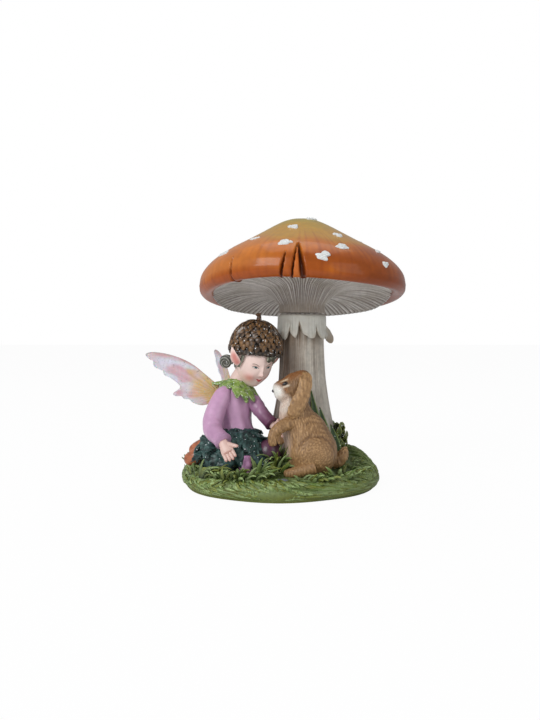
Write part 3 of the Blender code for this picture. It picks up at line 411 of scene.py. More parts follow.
grass_resin = resin("grass_resin", roughness=0.5, uneven=0.15, patch=1200.0)
skin("combed_grass", combed, combed_tint, grass_resin)


def tuft(middle, spread, count, length, lean, seed, width=0.00108, splay=0.35, curl=1.6):
    """Blades rooted round a middle. Each turns over by an angle that grows along it, and its path is the
    running sum of that angle's sine, times its way, and cosine, upwards."""
    chance = np.random.default_rng(seed)
    offset = chance.normal(0, 1, (count, 2)) * array(spread)
    x, y = middle[0] + offset[:, 0], middle[1] + offset[:, 1]
    root = xyz(x, y, ground(x, y) - 0.001)
    away = offset / (array(spread) * 2.0)
    way = array(lean) + splay * away + chance.normal(0, 0.16, (count, 2))
    tipped = np.linalg.norm(way, axis=1)[:, None]
    way = concatenate([way / tipped, np.zeros((count, 1))], axis=1)[:, None]
    share = linspace(0, 1, 9)[None]
    bend = 0.6 * tipped + curl * chance.uniform(0.35, 1.25, count)[:, None] * share**1.3
    upright = array((0.0, 0.0, 1.0))
    slope = sin(bend)[..., None] * way + cos(bend)[..., None] * upright
    step = (length * chance.uniform(0.75, 1.30, count) / 8)[:, None, None]
    path = root[:, None] + step * (np.cumsum(slope, axis=1) - slope[:, :1])
    thick = array((0.8, 1.0, 1.1, 1.1, 1.0, 0.9, 0.7, 0.45, 0.10))[None]
    grids = tube(path, thick * width * chance.uniform(0.75, 1.25, count)[:, None], 6, 0.62,
        up=0.8 * way - 0.6 * upright)
    return grids, np.broadcast_to(grass_paint(count, (share**0.8)[..., None], chance), grids.shape)


TUFTS = (
    ((-0.0480, -0.0205), (0.0022, 0.0020), 9, 0.0050, (-0.35, -0.25)),
    ((-0.0400, -0.0300), (0.0026, 0.0016), 18, 0.0115, (0.35, -0.20)),
    ((-0.0290, -0.0345), (0.0030, 0.0012), 15, 0.0080, (-0.10, -0.30)),
    ((-0.0190, -0.0370), (0.0026, 0.0012), 16, 0.0090, (0.30, -0.20)),
    ((-0.0110, -0.0350), (0.0024, 0.0016), 18, 0.0115, (0.28, -0.10)),
    ((-0.0035, -0.0230), (0.0022, 0.0030), 18, 0.0110, (0.10, -0.10)),
    ((-0.0010, -0.0140), (0.0024, 0.0026), 30, 0.0165, (0.05, -0.05)),
    ((0.0160, -0.0375), (0.0040, 0.0014), 14, 0.0062, (0.20, -0.25)),
    ((0.0260, -0.0330), (0.0032, 0.0016), 16, 0.0072, (-0.35, -0.25)),
    ((0.0345, -0.0245), (0.0036, 0.0022), 14, 0.0048, (0.35, -0.20)),
    ((0.0420, -0.0120), (0.0024, 0.0040), 12, 0.0040, (0.40, -0.15)),
    ((0.0420, 0.0040), (0.0030, 0.0050), 12, 0.0036, (0.45, 0.0)),
    ((0.0370, -0.0060), (0.0030, 0.0040), 14, 0.0046, (0.30, -0.10)),
    ((0.0200, 0.0345), (0.0070, 0.0024), 24, 0.0052, (0.0, 0.30)),
    ((0.0030, 0.0370), (0.0100, 0.0026), 30, 0.0085, (0.0, 0.22)),
    ((-0.0180, 0.0300), (0.0080, 0.0040), 28, 0.0085, (-0.10, 0.20)),
    ((-0.0330, 0.0180), (0.0050, 0.0050), 24, 0.0085, (-0.20, 0.15)),
    ((-0.0460, 0.0060), (0.0026, 0.0050), 16, 0.0075, (-0.25, 0.10)),
    ((-0.0060, 0.0130), (0.0040, 0.0070), 16, 0.0085, (-0.10, 0.0)),
)
tufts = [tuft(*row, 21 + number) for number, row in enumerate(TUFTS)]
tuft_grids = concatenate([grids for grids, _ in tufts])
tuft_tints = concatenate([tints for _, tints in tufts])
oval = np.hypot(tuft_grids[..., 0] / (0.985 * HALF_WIDTH), tuft_grids[..., 1] / (0.985 * HALF_DEPTH))
tuft_grids[..., :2] /= np.maximum(oval, 1.0)[..., None]
skin("grass_tufts", tuft_grids, tuft_tints, grass_resin)

# The tall leaves and the dark clump behind the rabbit, against the foot of the stem, and the pebble at the
# rabbit's toe. Each leaf is a pointed lens, folded along its midrib, with a pale painted edge.
STEM_AXIS = (0.0126, 0.0120)
PEBBLE = (0.0002, -0.0375)


def leaves(path, width, thickness, fold, up):
    """Leaves along paths: an oval as wide as a sine of the share along, folded up at the sides."""
    share = linspace(0.02, 0.995, path.shape[-2])
    spread = sin(pi * share**0.8) ** 0.8 * (1 - 0.25 * share) + 0.05
    columns = 12
    flat = tube(path, np.broadcast_to(spread, path.shape[:-1]) * np.asarray(width)[..., None], columns,
        thickness, up)
    angle = circle(columns)[:, None]
    raise_by = (
        fold * np.abs(cos(angle)) ** 1.5 * spread[:, None, None] * np.asarray(width)[..., None, None, None]
    )
    return flat + raise_by * np.broadcast_to(up, path.shape)[..., None, :]


tall_path = []
for offset, lean, long in (((0.0075, -0.0185), (-0.0030, 0.0040), 1.0),
        ((0.0135, -0.0165), (-0.0040, 0.0040), 0.78), ((0.0185, -0.0140), (-0.0028, 0.0030), 0.56),
        ((0.0105, -0.0170), (0.0008, 0.0020), 0.48)):
    root = array((STEM_AXIS[0] + offset[0], STEM_AXIS[1] + offset[1], TURF_TOP - 0.002))
    tip = root + (lean[0], lean[1], 0.0440 * long + 0.001)
    tall_path.append(flow((root, (root + tip) / 2 + (0.0018, -0.0012, 0.0), tip), 20))
tall_grids = leaves(array(tall_path), array((0.0030, 0.0030, 0.0028, 0.0022)), 0.28, 0.35,
    array((0.15, -1.0, 0.1)))
edge = np.abs(cos(circle(12)))[None, None]
tall_tint = coats((50, 78, 42), ((158, 176, 96), edge**4 * linspace(0.5, 1.0, 20)[None, :, None]))
leaf_resin = resin("leaf_resin", roughness=0.45, uneven=0.2, patch=900.0, glitter=0.03)
skin("tall_leaves", tall_grids, tall_tint, leaf_resin)

chance = np.random.default_rng(50)
count = 46
around = chance.uniform(0, 2 * pi, count)
high = chance.uniform(-0.75, 0.85, count)
ball = xyz(cos(around) * np.sqrt(1 - high**2), sin(around) * np.sqrt(1 - high**2), high)
clump_middle = array((STEM_AXIS[0] + 0.0201, STEM_AXIS[1] - 0.0020, TURF_TOP + 0.0112))
root = clump_middle + ball * (0.0030, 0.0036, 0.0092)
tip = root + (ball * (0.5, 0.5, 0.25) + (0.0, 0.0, 0.85)) * chance.uniform(0.0045, 0.0068, count)[:, None]
bow = ball * 0.0010
clump_grids = leaves(stack([flow(trio, 8) for trio in zip(root, (root + tip) / 2 + bow, tip)]),
    np.full(count, 0.0019), 0.3, 0.35, (ball + (0.05, -0.02, 0.01))[:, None, :])
clump_tint = coats(
    (84, 98, 46),
    ((186, 190, 104), edge**4 * linspace(0.3, 1.0, 8)[None, :, None]
        * chance.uniform(0.6, 1, (count, 1, 1))),
)
skin("leaf_clump", clump_grids, clump_tint, leaf_resin)


def ball_of(polar, angle):
    """A unit ball: the sine of the angle from its pole goes round it, and its cosine goes up."""
    return xyz(sin(polar) * cos(angle), sin(polar) * sin(angle), cos(polar))


polar = linspace(0.06, pi - 0.06, 24)[:, None]
angle = circle(36)[None]
globe = ball_of(polar, angle)
core = clump_middle + globe * (0.0034, 0.0042, 0.0105) * (1 + 0.12 * sin(7 * angle + 8 * polar))[..., None]
skin("clump_core", core, paint(50, 58, 30), leaf_resin)
pebble = array((*PEBBLE, 0.0)) + globe * (0.0036, 0.0026, 0.0019)
pebble[..., 2] += ground(*PEBBLE) - 0.0012 + 0.12 * (pebble[..., 0] - PEBBLE[0])
pebble = pebble + (0.00018 * mottle(pebble, 0.003, 52))[..., None] * globe
pebble_resin = resin("pebble_resin", roughness=0.5, uneven=0.2, patch=1500.0)
skin("pebble", pebble, paint(112, 122, 128), pebble_resin)

# The toadstool's stem. A tapering column with fine upright flutes that fade at the top, cast with the turf.
# It is painted grey cream, with a brown wash that settles in the flutes.
CREAM = (190, 183, 171)
WASH = (112, 92, 74)


def upright(middle, radius, angle, height):
    """Points round an upright axis: radius times cosine and sine of the angle, at a height."""
    x, y = middle[0] + radius * cos(angle), middle[1] + radius * sin(angle)
    return xyz(x, y, height)


stem_profile = flow(mm((21.5, 3.0), (21.5, 13.3), (19.35, 24.7), (16.6, 36.1), (14.1, 50.4), (12.6, 66.5),
    (12.0, 94.6)), 96)
angle = circle(400)[None]
height = stem_profile[:, 1][:, None]
flute = (
    80 * angle + 1.6 * sin(5 * angle + 55 * height) + 1.2 * sin(11 * angle - 90 * height)
    + 0.8 * sin(23 * angle + 160 * height)
)
groove = (0.5 + 0.5 * cos(flute)) ** 1.5
strong = 0.50 + 0.30 * sin(9 * angle + 1.0 + 45 * height) + 0.20 * sin(17 * angle - 150 * height)
broad = 0.0003 * cos(17 * angle) + 0.0004 * sin(5 * angle + 40 * height)
radius = stem_profile[:, 0][:, None] + broad - 0.00032 * groove * strong
stem_grid = upright(STEM_AXIS, radius, angle, height)
left = swell(-cos(angle - 0.35), 0.1, 0.9)
stem_tint = coats(
    CREAM,
    (WASH, 0.70 * groove * strong + 0.16 * mottle(stem_grid * (1, 1, 0.15), 0.004, 60)),
    # Partly brown paint, partly painted shade: the stem's left side is browner, more so in the flutes.
    ((112, 84, 62), 0.70 * left * (0.6 + 0.4 * groove)),
    ((120, 96, 70), 0.6 * swell(height, 0.072, 0.083) * (0.6 + 0.4 * sin(13 * angle + 3 * sin(4 * angle)))),
    ((92, 100, 66), 0.7 * (1 - swell(height, 0.012, 0.024))),
)
stem_resin = resin("stem_resin", roughness=0.55, uneven=0.14, patch=420.0)
skin("stem", stem_grid, stem_tint, stem_resin)

# The torn ring under the gills. A smooth collar on the stem whose hem hangs in torn lobes, with brown wash
# in the tears between them and one flap that curls away on the right.
RING_TOP = 0.0946
TEARS = (
    (-171.0, 0.9, 8.0, 5.0), (-146.0, 0.6, 3.0, 7.0), (-123.0, 0.9, 3.5, 8.0), (-99.0, 1.25, 3.5, 10.0),
    (-57.0, 0.95, 3.0, 8.0),
    (-30.0, 0.45, 4.0, 9.0), (-8.0, 0.9, 6.0, 6.0), (45.0, 0.9, 6.0, 9.0), (96.0, 1.0, 9.0, 5.0),
    (148.0, 0.8, 5.0, 7.0),
)


def degrees_from(angle, bearing):
    """How far an angle is from a bearing given in degrees, from -180 to 180 degrees."""
    return (np.degrees(angle) - bearing + 180.0) % 360.0 - 180.0


angle = circle(400)[None]
tear = np.zeros_like(angle)
for degrees, size, before, after in TEARS:
    gap = degrees_from(angle, degrees)
    tear = np.maximum(tear, size * exp(-((np.abs(gap) / np.where(gap < 0, before, after)) ** 1.1)))
hem = (
    RING_TOP - 0.0140 + 0.0058 * tear + 0.0006 * sin(3 * angle)
    + 0.0003 * sin(17 * angle + 2 * sin(4 * angle))
)
outside = ((0.0, 0.0116), (0.02, 0.0126), (0.10, 0.0136), (0.35, 0.0138), (0.60, 0.0140), (0.82, 0.0146),
    (0.96, 0.0152), (1.0, 0.0149), (0.985, 0.0143), (0.85, 0.0133), (0.6, 0.0113))
ring_line = flow(outside, 56)[:, :, None]
drop, radius = ring_line[:, 0], ring_line[:, 1]
low = swell(drop, 0.3, 1.0)
radius = (
    radius - 0.0012 * low * tear + 0.0004 * low * sin(7 * angle)
    - 0.00010 * sin(40 * angle + 3 * sin(6 * angle)) * swell(drop, 0.05, 0.2)
)
ring_grid = upright(STEM_AXIS, radius, angle, RING_TOP + (hem - RING_TOP) * drop)
ring_tint = coats(
    (204, 202, 192),
    ((112, 90, 66), swell(tear * low, 0.40, 0.85) * 0.9),
    ((168, 156, 136), 0.5 * swell(drop, 0.80, 1.0) + 0.2 * mottle(ring_grid, 0.006, 62)),
    ((110, 92, 70), 0.8 * (np.arange(56) > 40)[:, None] + 0 * angle),
)
ring_resin = resin("ring_resin", roughness=0.5, uneven=0.08, patch=260.0)
skin("stem_ring", ring_grid, ring_tint, ring_resin)
flap_path = flow(mm((25.0, 12.8, 87.2), (26.8, 13.2, 84.2), (28.4, 13.8, 81.4), (30.0, 14.2, 78.2)), 20)
flap = tube(flap_path[None], taper(20, (0, 0.3, 0.75, 0.93, 1), (0.0020, 0.0026, 0.0025, 0.0016, 0.0004)),
    20, 0.5, up=(0.2, -1.0, 0.3))
skin("ring_flap", flap, coats((196, 190, 178), ((140, 116, 88),
    linspace(0, 0.8, 20)[:, None] + np.zeros((20, 20)))), ring_resin)

# The toadstool's cap. A second casting, glued over the stem and tipped back: a wavy domed skin with a rolled
# lip and torn splits, painted ochre at the crown and orange down to a brown rim, under a gloss varnish.
CAP_RADIUS = 0.0582
CAP_HEIGHT = 0.0400
CAP_RIM = (0.0126, 0.01193, 0.1095)
CAP_TILT = radians(9.0)
SPLITS = (
    (-131.5, 0.0085, 0.0007, -0.10), (-102.2, 0.0090, 0.0008, -0.20), (-97.0, 0.0175, 0.0006, -0.13),
    (-92.6, 0.0175, 0.0017, 0.12),
    (38.0, 0.0140, 0.0016, 0.1), (112.0, 0.0120, 0.0014, -0.1),
)
FACET_BEARING = -94.8
FACET_LENGTH = 0.0175
ORANGE = (190, 104, 26)


def swing(x, y, turn):
    """x and y turned by an angle: cosine times one less sine times the other, and sine and cosine summed."""
    return x * cos(turn) - y * sin(turn), x * sin(turn) + y * cos(turn)


def cap_place(radius, angle, height):
    """A point of the cap: its rim droops at the front right and lifts at the left, then the cap tips back."""
    share = (radius / CAP_RADIUS) ** 3
    height = height - 0.0022 * share * hill(degrees_from(angle, -58), 38)
    height = height + 0.00099 * share * hill(degrees_from(angle, -125), 35)
    y, z = swing(radius * sin(angle), height, -CAP_TILT)
    return xyz(radius * cos(angle), y, z) + CAP_RIM


dome = (
    flow(((0.004, 1.0), (0.1, 0.98), (0.22, 0.915), (0.33, 0.825), (0.45, 0.715), (0.6, 0.58), (0.76, 0.44),
    (0.87, 0.325), (0.94, 0.225), (0.985, 0.12), (1.0, 0.0)), 78) * (CAP_RADIUS, CAP_HEIGHT)
)
lip = flow(((CAP_RADIUS, 0.0), (CAP_RADIUS - 0.0006, -0.0033), (CAP_RADIUS - 0.0034, -0.0055),
    (CAP_RADIUS - 0.0075, -0.0041), (CAP_RADIUS - 0.0085, -0.0010), (CAP_RADIUS - 0.0095, 0.0040)), 22)[1:]
cap_line = concatenate([dome, lip])
angle = linspace(-pi, pi, 540, endpoint=False)
angle = (angle - 0.30 * sin(angle + 1.66))[None]
radius, height = cap_line[:, 0][:, None] + 0 * angle, cap_line[:, 1][:, None] + 0 * angle
on_top = swell(height, 0.0002, 0.004)
height = (
    height + on_top * (0.00020 * sin(5 * angle + 0.7) + 0.00025 * sin(3 * angle + 2.0))
    * sin(pi * radius / CAP_RADIUS)
)
walked = concatenate([[0.0], np.cumsum(np.hypot(*np.diff(cap_line, axis=0).T))])
from_rim = (walked[len(dome) - 1] - walked)[:, None]
cut = np.zeros_like(radius)
for degrees, long, wide, slant in SPLITS:
    gap = radians(degrees_from(angle, degrees)) * CAP_RADIUS + slant * from_rim
    half = wide * np.clip(1.0 - from_rim / long, 0.0, 1.15) ** 0.8
    cut = np.maximum(cut, swell(1.0 - np.abs(gap) / (half + 1e-5), 0.0, 0.5) * (half > 0)
        * swell(half, 0.0, 0.3 * wide))
facet_side = radians(degrees_from(angle, FACET_BEARING)) * CAP_RADIUS
facet = (
    swell(1.0 - np.abs(facet_side) / (0.0034 * np.clip(1.0 - from_rim / FACET_LENGTH, 0.0, 1.1) + 1e-5),
    0.0, 0.3) * swell(FACET_LENGTH - from_rim, 0.0, 0.003)
)
radius = radius - (0.0030 * cut + 0.0009 * facet) * swell(radius, 0.6 * CAP_RADIUS, CAP_RADIUS)
height = height - (0.0012 * cut + 0.0004 * facet) * on_top
cap_grid = cap_place(radius, angle, height)
streak = 0.5 * sin(61 * angle + 2 * sin(7 * angle)) + 0.5 * sin(97 * angle + 3 * sin(5 * angle))
share = radius / CAP_RADIUS + 0.025 * streak + 0.06 * mottle(cap_grid, 0.02, 70)
side = cap_grid[..., 0] - CAP_RIM[0]
cap_tint = coats(
    (166, 144, 46),
    ((188, 138, 40), swell(share, 0.2, 0.55)),
    (ORANGE, swell(share, 0.60, 0.90)),
    ((150, 70, 20), 0.8 * swell(share, 0.86, 1.0)),
    ((160, 76, 26), 0.8 * swell(-height, 0.001, 0.004)),
    ((132, 60, 22), 0.22 * swell(streak, 0.1, 0.8) * swell(share, 0.4, 0.8)),
    # Painted light: a paler orange over the cap's left side, above the lip.
    ((222, 142, 70), 0.50 * swell(-side, 0.0, 0.045) * swell(share, 0.55, 0.85)
        * swell(height, -0.003, 0.003)),
    # Painted shade: a deep orange-brown over the cap's right side.
    ((136, 62, 12), 0.55 * swell(side, 0.0, 0.045) * swell(share, 0.60, 0.95)),
    # Painted shade: the lip painted darker on the right side.
    ((118, 50, 16), 0.6 * swell(side, 0.015, 0.05) * swell(-height, -0.003, 0.003)),
    ((210, 116, 48), 0.6 * facet * (1 - cut)),
    # Painted shade: near black down in the splits.
    ((78, 32, 14), 0.95 * cut),
)
cap_resin = resin("cap_resin", roughness=0.34, coat=0.30, uneven=0.10, patch=240.0, bump=0.10, grain=900.0,
    more={"Specular IOR Level": 0.12})
skin("cap_skin", cap_grid, cap_tint, cap_resin, "mushroom_cap")

# The gills. Thin folds that run from the lip to a short neck, long and short by turns, cast under the cap
# and left matt: grey cream with a brown wash between them. The neck ends at the glue line over the ring.
FOLDS = 104
angle = circle(700)[None]
edge_radius = CAP_RADIUS - 0.0072
line = array(((edge_radius - 0.002, 0.0060), (edge_radius, -0.0030), (edge_radius - 0.0016, -0.0026),
    (0.86 * edge_radius, -0.0006), (0.70 * edge_radius, 0.0006), (0.45 * edge_radius, -0.0009),
    (0.0185, -0.0035)))
drop = array((0.0, 0.0038, 0.0042, 0.0044, 0.0036, 0.0012, 0.0))[:, None] * swell(sin(angle), -0.1, 0.6)
under = cap_place(line[:, 0][:, None] + 0 * angle, angle, line[:, 1][:, None] - drop)
neck_line = array(((0.0140, 0.1015), (0.0129, 0.0990), (0.0129, 0.0970), (0.0128, 0.0955),
    (0.0100, 0.0953)))
neck = upright(STEM_AXIS, neck_line[:, :1], angle, neck_line[:, 1:])
gill_grid = flow(concatenate([under, neck]), 60)
run = linspace(0, 1, 60)[:, None]
waver = 1.3 * sin(6 * angle + 5 * run) + 0.9 * sin(13 * angle - 7 * run) + 0.6 * sin(29 * angle + 9 * run)
fold = 0.5 + 0.5 * cos(FOLDS * angle + waver)
second = 0.5 + 0.5 * cos(67 * angle + 1.7 * waver + 1.0)
fold = np.clip(0.65 * fold + 0.5 * second * fold + 0.25 * sin(31 * angle + 2 * waver) * fold, 0, 1)
short = 0.5 + 0.5 * cos(FOLDS * 0.5 * angle + 0.5 * waver)
fold = fold * (1 - 0.6 * short * swell(run, 0.40, 0.58))
strong = swell(run, 0.09, 0.17) * (1 - 0.75 * swell(run, 0.55, 0.72)) * (1 - swell(run, 0.93, 0.96))
gill_grid = gill_grid + outward(gill_grid) * (0.00085 * strong * (fold - 0.35))[..., None]
gill_grid[..., 2] = np.where(run > 0.6, np.maximum(gill_grid[..., 2], 0.0953), gill_grid[..., 2])
gill_tint = coats(
    (116, 102, 92),
    ((216, 210, 204), fold**0.7),
    ((160, 150, 138), 0.2 + 0.3 * mottle(gill_grid, 0.02, 80)),
    # Painted shade: the short neck under the gills is painted darker, as the cap shades it.
    ((142, 128, 112), 0.5 * swell(run, 0.58, 0.72) + 0 * angle),
    ((196, 196, 196), 0.7 * (1 - swell(run, 0.10, 0.17)) + 0 * angle),
)
gill_resin = resin("gill_resin", roughness=0.6, uneven=0.12, patch=500.0)
skin("gills", gill_grid, gill_tint, gill_resin, "mushroom_cap")

# The raised spots. Small lobed patches of resin with a crust of white glitter, scattered over the cap.
SPOTS = (
    (-102.0, 0.47, 1.05), (-61.0, 0.63, 1.0), (-102.0, 0.87, 1.15), (-69.0, 0.88, 1.1),
    (-82.0, 0.980, 1.15), (-43.0, 0.975, 0.8),
    (-37.0, 0.84, 0.7), (-144.0, 0.90, 0.9), (-129.0, 0.72, 0.8), (-65.0, 0.20, 0.8), (-12.0, 0.58, 1.0),
    (14.0, 0.86, 1.1),
    (45.0, 0.60, 1.0), (75.0, 0.86, 1.1), (105.0, 0.50, 1.0), (136.0, 0.82, 1.1), (168.0, 0.62, 1.0),
)
spots = array(SPOTS)
spot_angle, spot_share, spot_size = radians(spots[:, 0]), spots[:, 1], spots[:, 2]


def cap_top(angle, share):
    """A point of the cap's top at an angle and a share of its radius, its height off the dome's line."""
    radius = share * CAP_RADIUS
    height = np.interp(radius, dome[:, 0], dome[:, 1])
    return cap_place(radius, angle, height)


spot_place = cap_top(spot_angle, spot_share)
aside = 0.02 / spot_share
spot_out = unit(cap_top(spot_angle, spot_share + 0.02) - cap_top(spot_angle, spot_share - 0.02))
spot_side = unit(cap_top(spot_angle + aside, spot_share) - cap_top(spot_angle - aside, spot_share))
spot_up = np.cross(spot_out, spot_side)
line = flow(((0.04, 1.0), (0.5, 0.95), (0.85, 0.75), (1.0, 0.25), (0.98, -0.9), (0.05, -1.2)), 22)
angle = circle(40)[None, None]
number = np.arange(len(spots))[:, None, None]
lobed = (
    1 + 0.22 * sin(2 * angle + 0.4 * number + 1.0) + 0.20 * sin(3 * angle + 1.7 * number)
    + 0.13 * sin(5 * angle + 2.9 * number)
)
radius = line[None, :, 0, None] * 0.0027 * lobed * spot_size[:, None, None]
lump = 0.00022 * sin(3100 * radius * cos(angle) + number) * sin(2900 * radius * sin(angle) + 2 * number)
rise = line[None, :, 1, None] * 0.0008 + lump * (line[None, :, 1, None] > 0)
spot_grids = spot_place[:, None, None] + (radius * cos(angle) * 0.72)[..., None] * spot_out[:, None, None]
spot_grids = (
    spot_grids + (radius * sin(angle) * 1.15)[..., None] * spot_side[:, None, None]
    + rise[..., None] * spot_up[:, None, None]
)
spot_resin = resin("spot_resin", roughness=0.45, uneven=0.10, patch=1600.0, bump=0.6, glitter=0.35)
skin("cap_spots", spot_grids, paint(222, 224, 222), spot_resin, "mushroom_cap")

# The girl's skirt. A full skirt of crinkled kale leaves in overlapping tiers over a dark core, spread round
# her as she kneels. Cast with the turf, painted deep teal with worn pale ridges and a dusting of glitter.
SKIRT_MIDDLE = array((-0.0254, -0.0082, 0.0198))
SKIRT_RADII = array((0.0202, 0.0200, 0.0137))
TEAL_DARK = (18, 30, 30)
TEAL = (50, 86, 82)
TEAL_PALE = (112, 144, 136)
skirt_resin = resin("skirt_resin", roughness=0.42, uneven=0.25, patch=1300.0, bump=0.4, glitter=0.03)


def crinkled(points, seed):
    """Kale crinkles from -1 to 1: one minus twice the size of mottled waves, so ridges are sharp."""
    return (
        0.65 * (1 - 2 * np.abs(mottle(points, 0.0046, seed)))
        + 0.35 * (1 - 2 * np.abs(mottle(points, 0.0024, seed + 1)))
    )


ball = ball_of(linspace(0.05, pi - 0.05, 81)[:, None], circle(168))
core = SKIRT_MIDDLE + ball * SKIRT_RADII * 0.965
ridges = crinkled(core, 90)
core = core + (0.0007 * ridges)[..., None] * ball
skirt_tint = coats(TEAL_DARK, (TEAL, 0.5 + 0.7 * ridges))
skin("skirt_core", core, skirt_tint, skirt_resin)
chance = np.random.default_rng(91)
tiers = linspace(0.42, 2.05, 9)
places = concatenate([stack([np.full(n, tier), (np.arange(n) + 0.5 * (k % 2)) / n * 2 * pi], axis=1) for k,
    tier in enumerate(tiers) for n in [int(5 + 17 * sin(tier))]])
places = places + chance.normal(0, 1, places.shape) * (0.07, 0.10)
count = len(places)
normal = ball_of(places[:, 0], places[:, 1])
down = ball_of(places[:, 0] + pi / 2, places[:, 1]) + chance.normal(0, 0.35, (count, 3))
root = SKIRT_MIDDLE + normal * SKIRT_RADII * 0.955
long = chance.uniform(0.0060, 0.0084, count)[:, None]
middle = root + down * long * 0.5 + normal * chance.uniform(0.0003, 0.0011, count)[:, None]
tip = root + down * long - normal * chance.uniform(-0.0005, 0.0012, count)[:, None]
skirt_path = np.moveaxis(flow(stack([root, middle, tip]), 12), 0, 1)
up = normal[:, None] + chance.normal(0, 0.25, (count, 1, 3))
skirt_leaves = leaves(skirt_path, chance.uniform(0.0026, 0.0038, count), 0.20, -0.30, up)
edge = np.abs(cos(circle(12)))[None, None]
ruffle = (
    sin(2 * pi * (3.5 * linspace(0, 1, 12)[None, :, None] + chance.uniform(0, 1, (count, 1, 1)))) * edge**2
)
crimp = crinkled(skirt_leaves, 92)
skirt_leaves = skirt_leaves + normal[:, None, None] * (0.00040 * crimp + 0.00045 * ruffle)[..., None]
skirt_leaves[..., 2] = np.maximum(skirt_leaves[..., 2], 0.0075)
dusted = swell(mottle(skirt_leaves, 0.014, 99) + 0.9 * swell(skirt_leaves[..., 2], 0.022, 0.032), 0.5, 1.3)
skirt_tint = coats(
    TEAL_DARK,
    (TEAL, 0.45 + 0.65 * crimp),
    (TEAL_PALE, (0.32 + 0.45 * dusted) * swell(crimp, 0.35, 0.85)
        + 0.25 * edge**6 * swell(ruffle, 0.2, 0.9)),
)
skin("skirt_leaves", skirt_leaves, skirt_tint, skirt_resin)

# The leggings and boots that show round the skirt: a lilac knee in front, the far knee beside the rabbit in
# the same legging painted dark plum as shade, and two brown boots tucked behind her on the left.
LILAC = (212, 166, 200)
cloth_resin = resin("cloth_resin", roughness=0.34, coat=0.15, uneven=0.06, patch=420.0, bump=0.10)
knee_line = flow(mm((-18.8, -26.6, 20.0), (-18.6, -27.6, 16.8), (-18.4, -27.8, 12.5), (-18.4, -26.2, 8.5)),
    26)
near_knee = tube(knee_line[None], taper(26, (0, 0.5, 1), (0.0032, 0.0035, 0.0036)), 28, 0.8)
near_knee = near_knee + outward(near_knee) * (0.0002 * sin(linspace(0, 16, 26)))[None, :, None, None]
skin("near_knee", near_knee, coats((206, 148, 192), ((130, 84, 118),
    0.35 + 0.35 * mottle(near_knee, 0.004, 93))), cloth_resin)
# Painted shade: the far knee is the lilac legging painted dark plum.
far_knee = array((-0.0062, -0.0155, 0.0195)) + ball[::3, ::4] * (0.0068, 0.0066, 0.0080)
skin("far_knee", far_knee, coats((96, 54, 76), ((48, 28, 40), 0.5 + 0.5 * mottle(far_knee, 0.006, 94))),
    cloth_resin)
boot_lines = stack([
    flow(mm((-40.0, -4.5, 20.0), (-44.5, -5.2, 17.6), (-48.5, -4.6, 15.0), (-52.5, -3.0, 13.2)), 30),
    flow(mm((-40.0, 4.0, 22.0), (-44.0, 4.6, 20.0), (-47.5, 5.8, 17.8), (-50.0, 7.6, 16.8)), 30),
])
boot_width = taper(30, (0, 0.3, 0.6, 0.85, 0.96, 1.0), (0.0039, 0.0044, 0.0044, 0.0038, 0.0025, 0.0010))
boots = tube(boot_lines, np.broadcast_to(boot_width, (2, 30)), 32, 0.95)
boot_tint = coats((196, 118, 80), ((116, 62, 42), 0.30 + 0.4 * mottle(boots, 0.005, 95)))
skin("boots", boots, boot_tint, cloth_resin)

# The sweater. A plain satin lilac top with soft folds at the waist and a wavy hem over the skirt. The near
# sleeve hangs to a hand on the skirt, and the far one, in plum shade, reaches out to the rabbit.
GIRL_TURN = radians(47.0)


def level_loft(stations, rows, columns, turn):
    """Level ovals turned about Z, through stations of centre, half width and half depth."""
    line = flow(stations, rows)
    angle = circle(columns)[None]
    x, y = swing(line[:, 3:4] * cos(angle), line[:, 4:5] * sin(angle), turn)
    return xyz(line[:, 0:1] + x, line[:, 1:2] + y, line[:, 2:3])


torso = level_loft(mm((-24.0, -4.0, 27.8, 10.4, 9.0), (-24.0, -4.0, 30.0, 10.9, 9.4),
    (-24.0, -4.0, 32.5, 9.7, 8.3), (-24.1, -3.4, 37.5, 8.9, 7.5), (-24.3, -2.6, 45.3, 9.8, 7.9),
    (-24.3, -2.6, 51.0, 10.0, 7.2), (-23.9, -2.9, 55.3, 7.4, 5.8), (-23.8, -3.0, 59.0, 3.8, 3.8)), 84, 110,
    GIRL_TURN)
run = linspace(0, 1, 84)[:, None]
angle = circle(110)[None]
folds = (
    0.0004 * sin(6 * angle + 5 * run) * (1 - swell(run, 0.1, 0.45))
    + 0.00015 * sin(9 * angle + 14 * run + 1.0)
)
torso = torso + outward(torso) * folds[..., None]
torso[..., 2] += (0.0009 * sin(4 * angle + 1.2) + 0.0003 * sin(13 * angle)) * (1 - swell(run, 0.05, 0.2))
# Painted shade: a darker lilac in the hollows of the folds, over a faint uneven tone.
torso_tint = coats(LILAC, ((150, 104, 146), 0.06 - folds * 500 + 0.10 * mottle(torso, 0.012, 96)))
skin("sweater", torso, torso_tint, cloth_resin)
near_line = flow(mm((-28.6, -7.6, 53.0, 3.6), (-31.2, -10.0, 50.0, 4.9), (-34.5, -13.8, 43.0, 5.3),
    (-36.2, -17.6, 36.5, 5.4), (-35.2, -22.2, 32.2, 5.0), (-32.4, -26.6, 30.2, 4.5),
    (-29.7, -30.3, 28.4, 4.5)), 64)
far_line = flow(mm((-20.0, 2.6, 52.5, 3.4), (-17.6, 0.8, 49.5, 4.5), (-13.8, -3.6, 45.0, 4.3),
    (-9.4, -8.8, 39.8, 3.7), (-4.6, -13.8, 35.2, 3.7)), 64)
lines = stack([near_line, far_line])
sleeves = tube(lines[..., :3], lines[..., 3], 48, 1.0, up=(0.3, 0.2, 1.0))
run = linspace(0, 1, 64)[None, :, None]
angle = circle(48)[None, None]
elbow = hill(run - 0.62, 0.12)
creases = 0.00016 * elbow * sin(44 * run + 2.4 * sin(angle + 0.5)) + 0.00025 * swell(run, 0.93, 1.0)
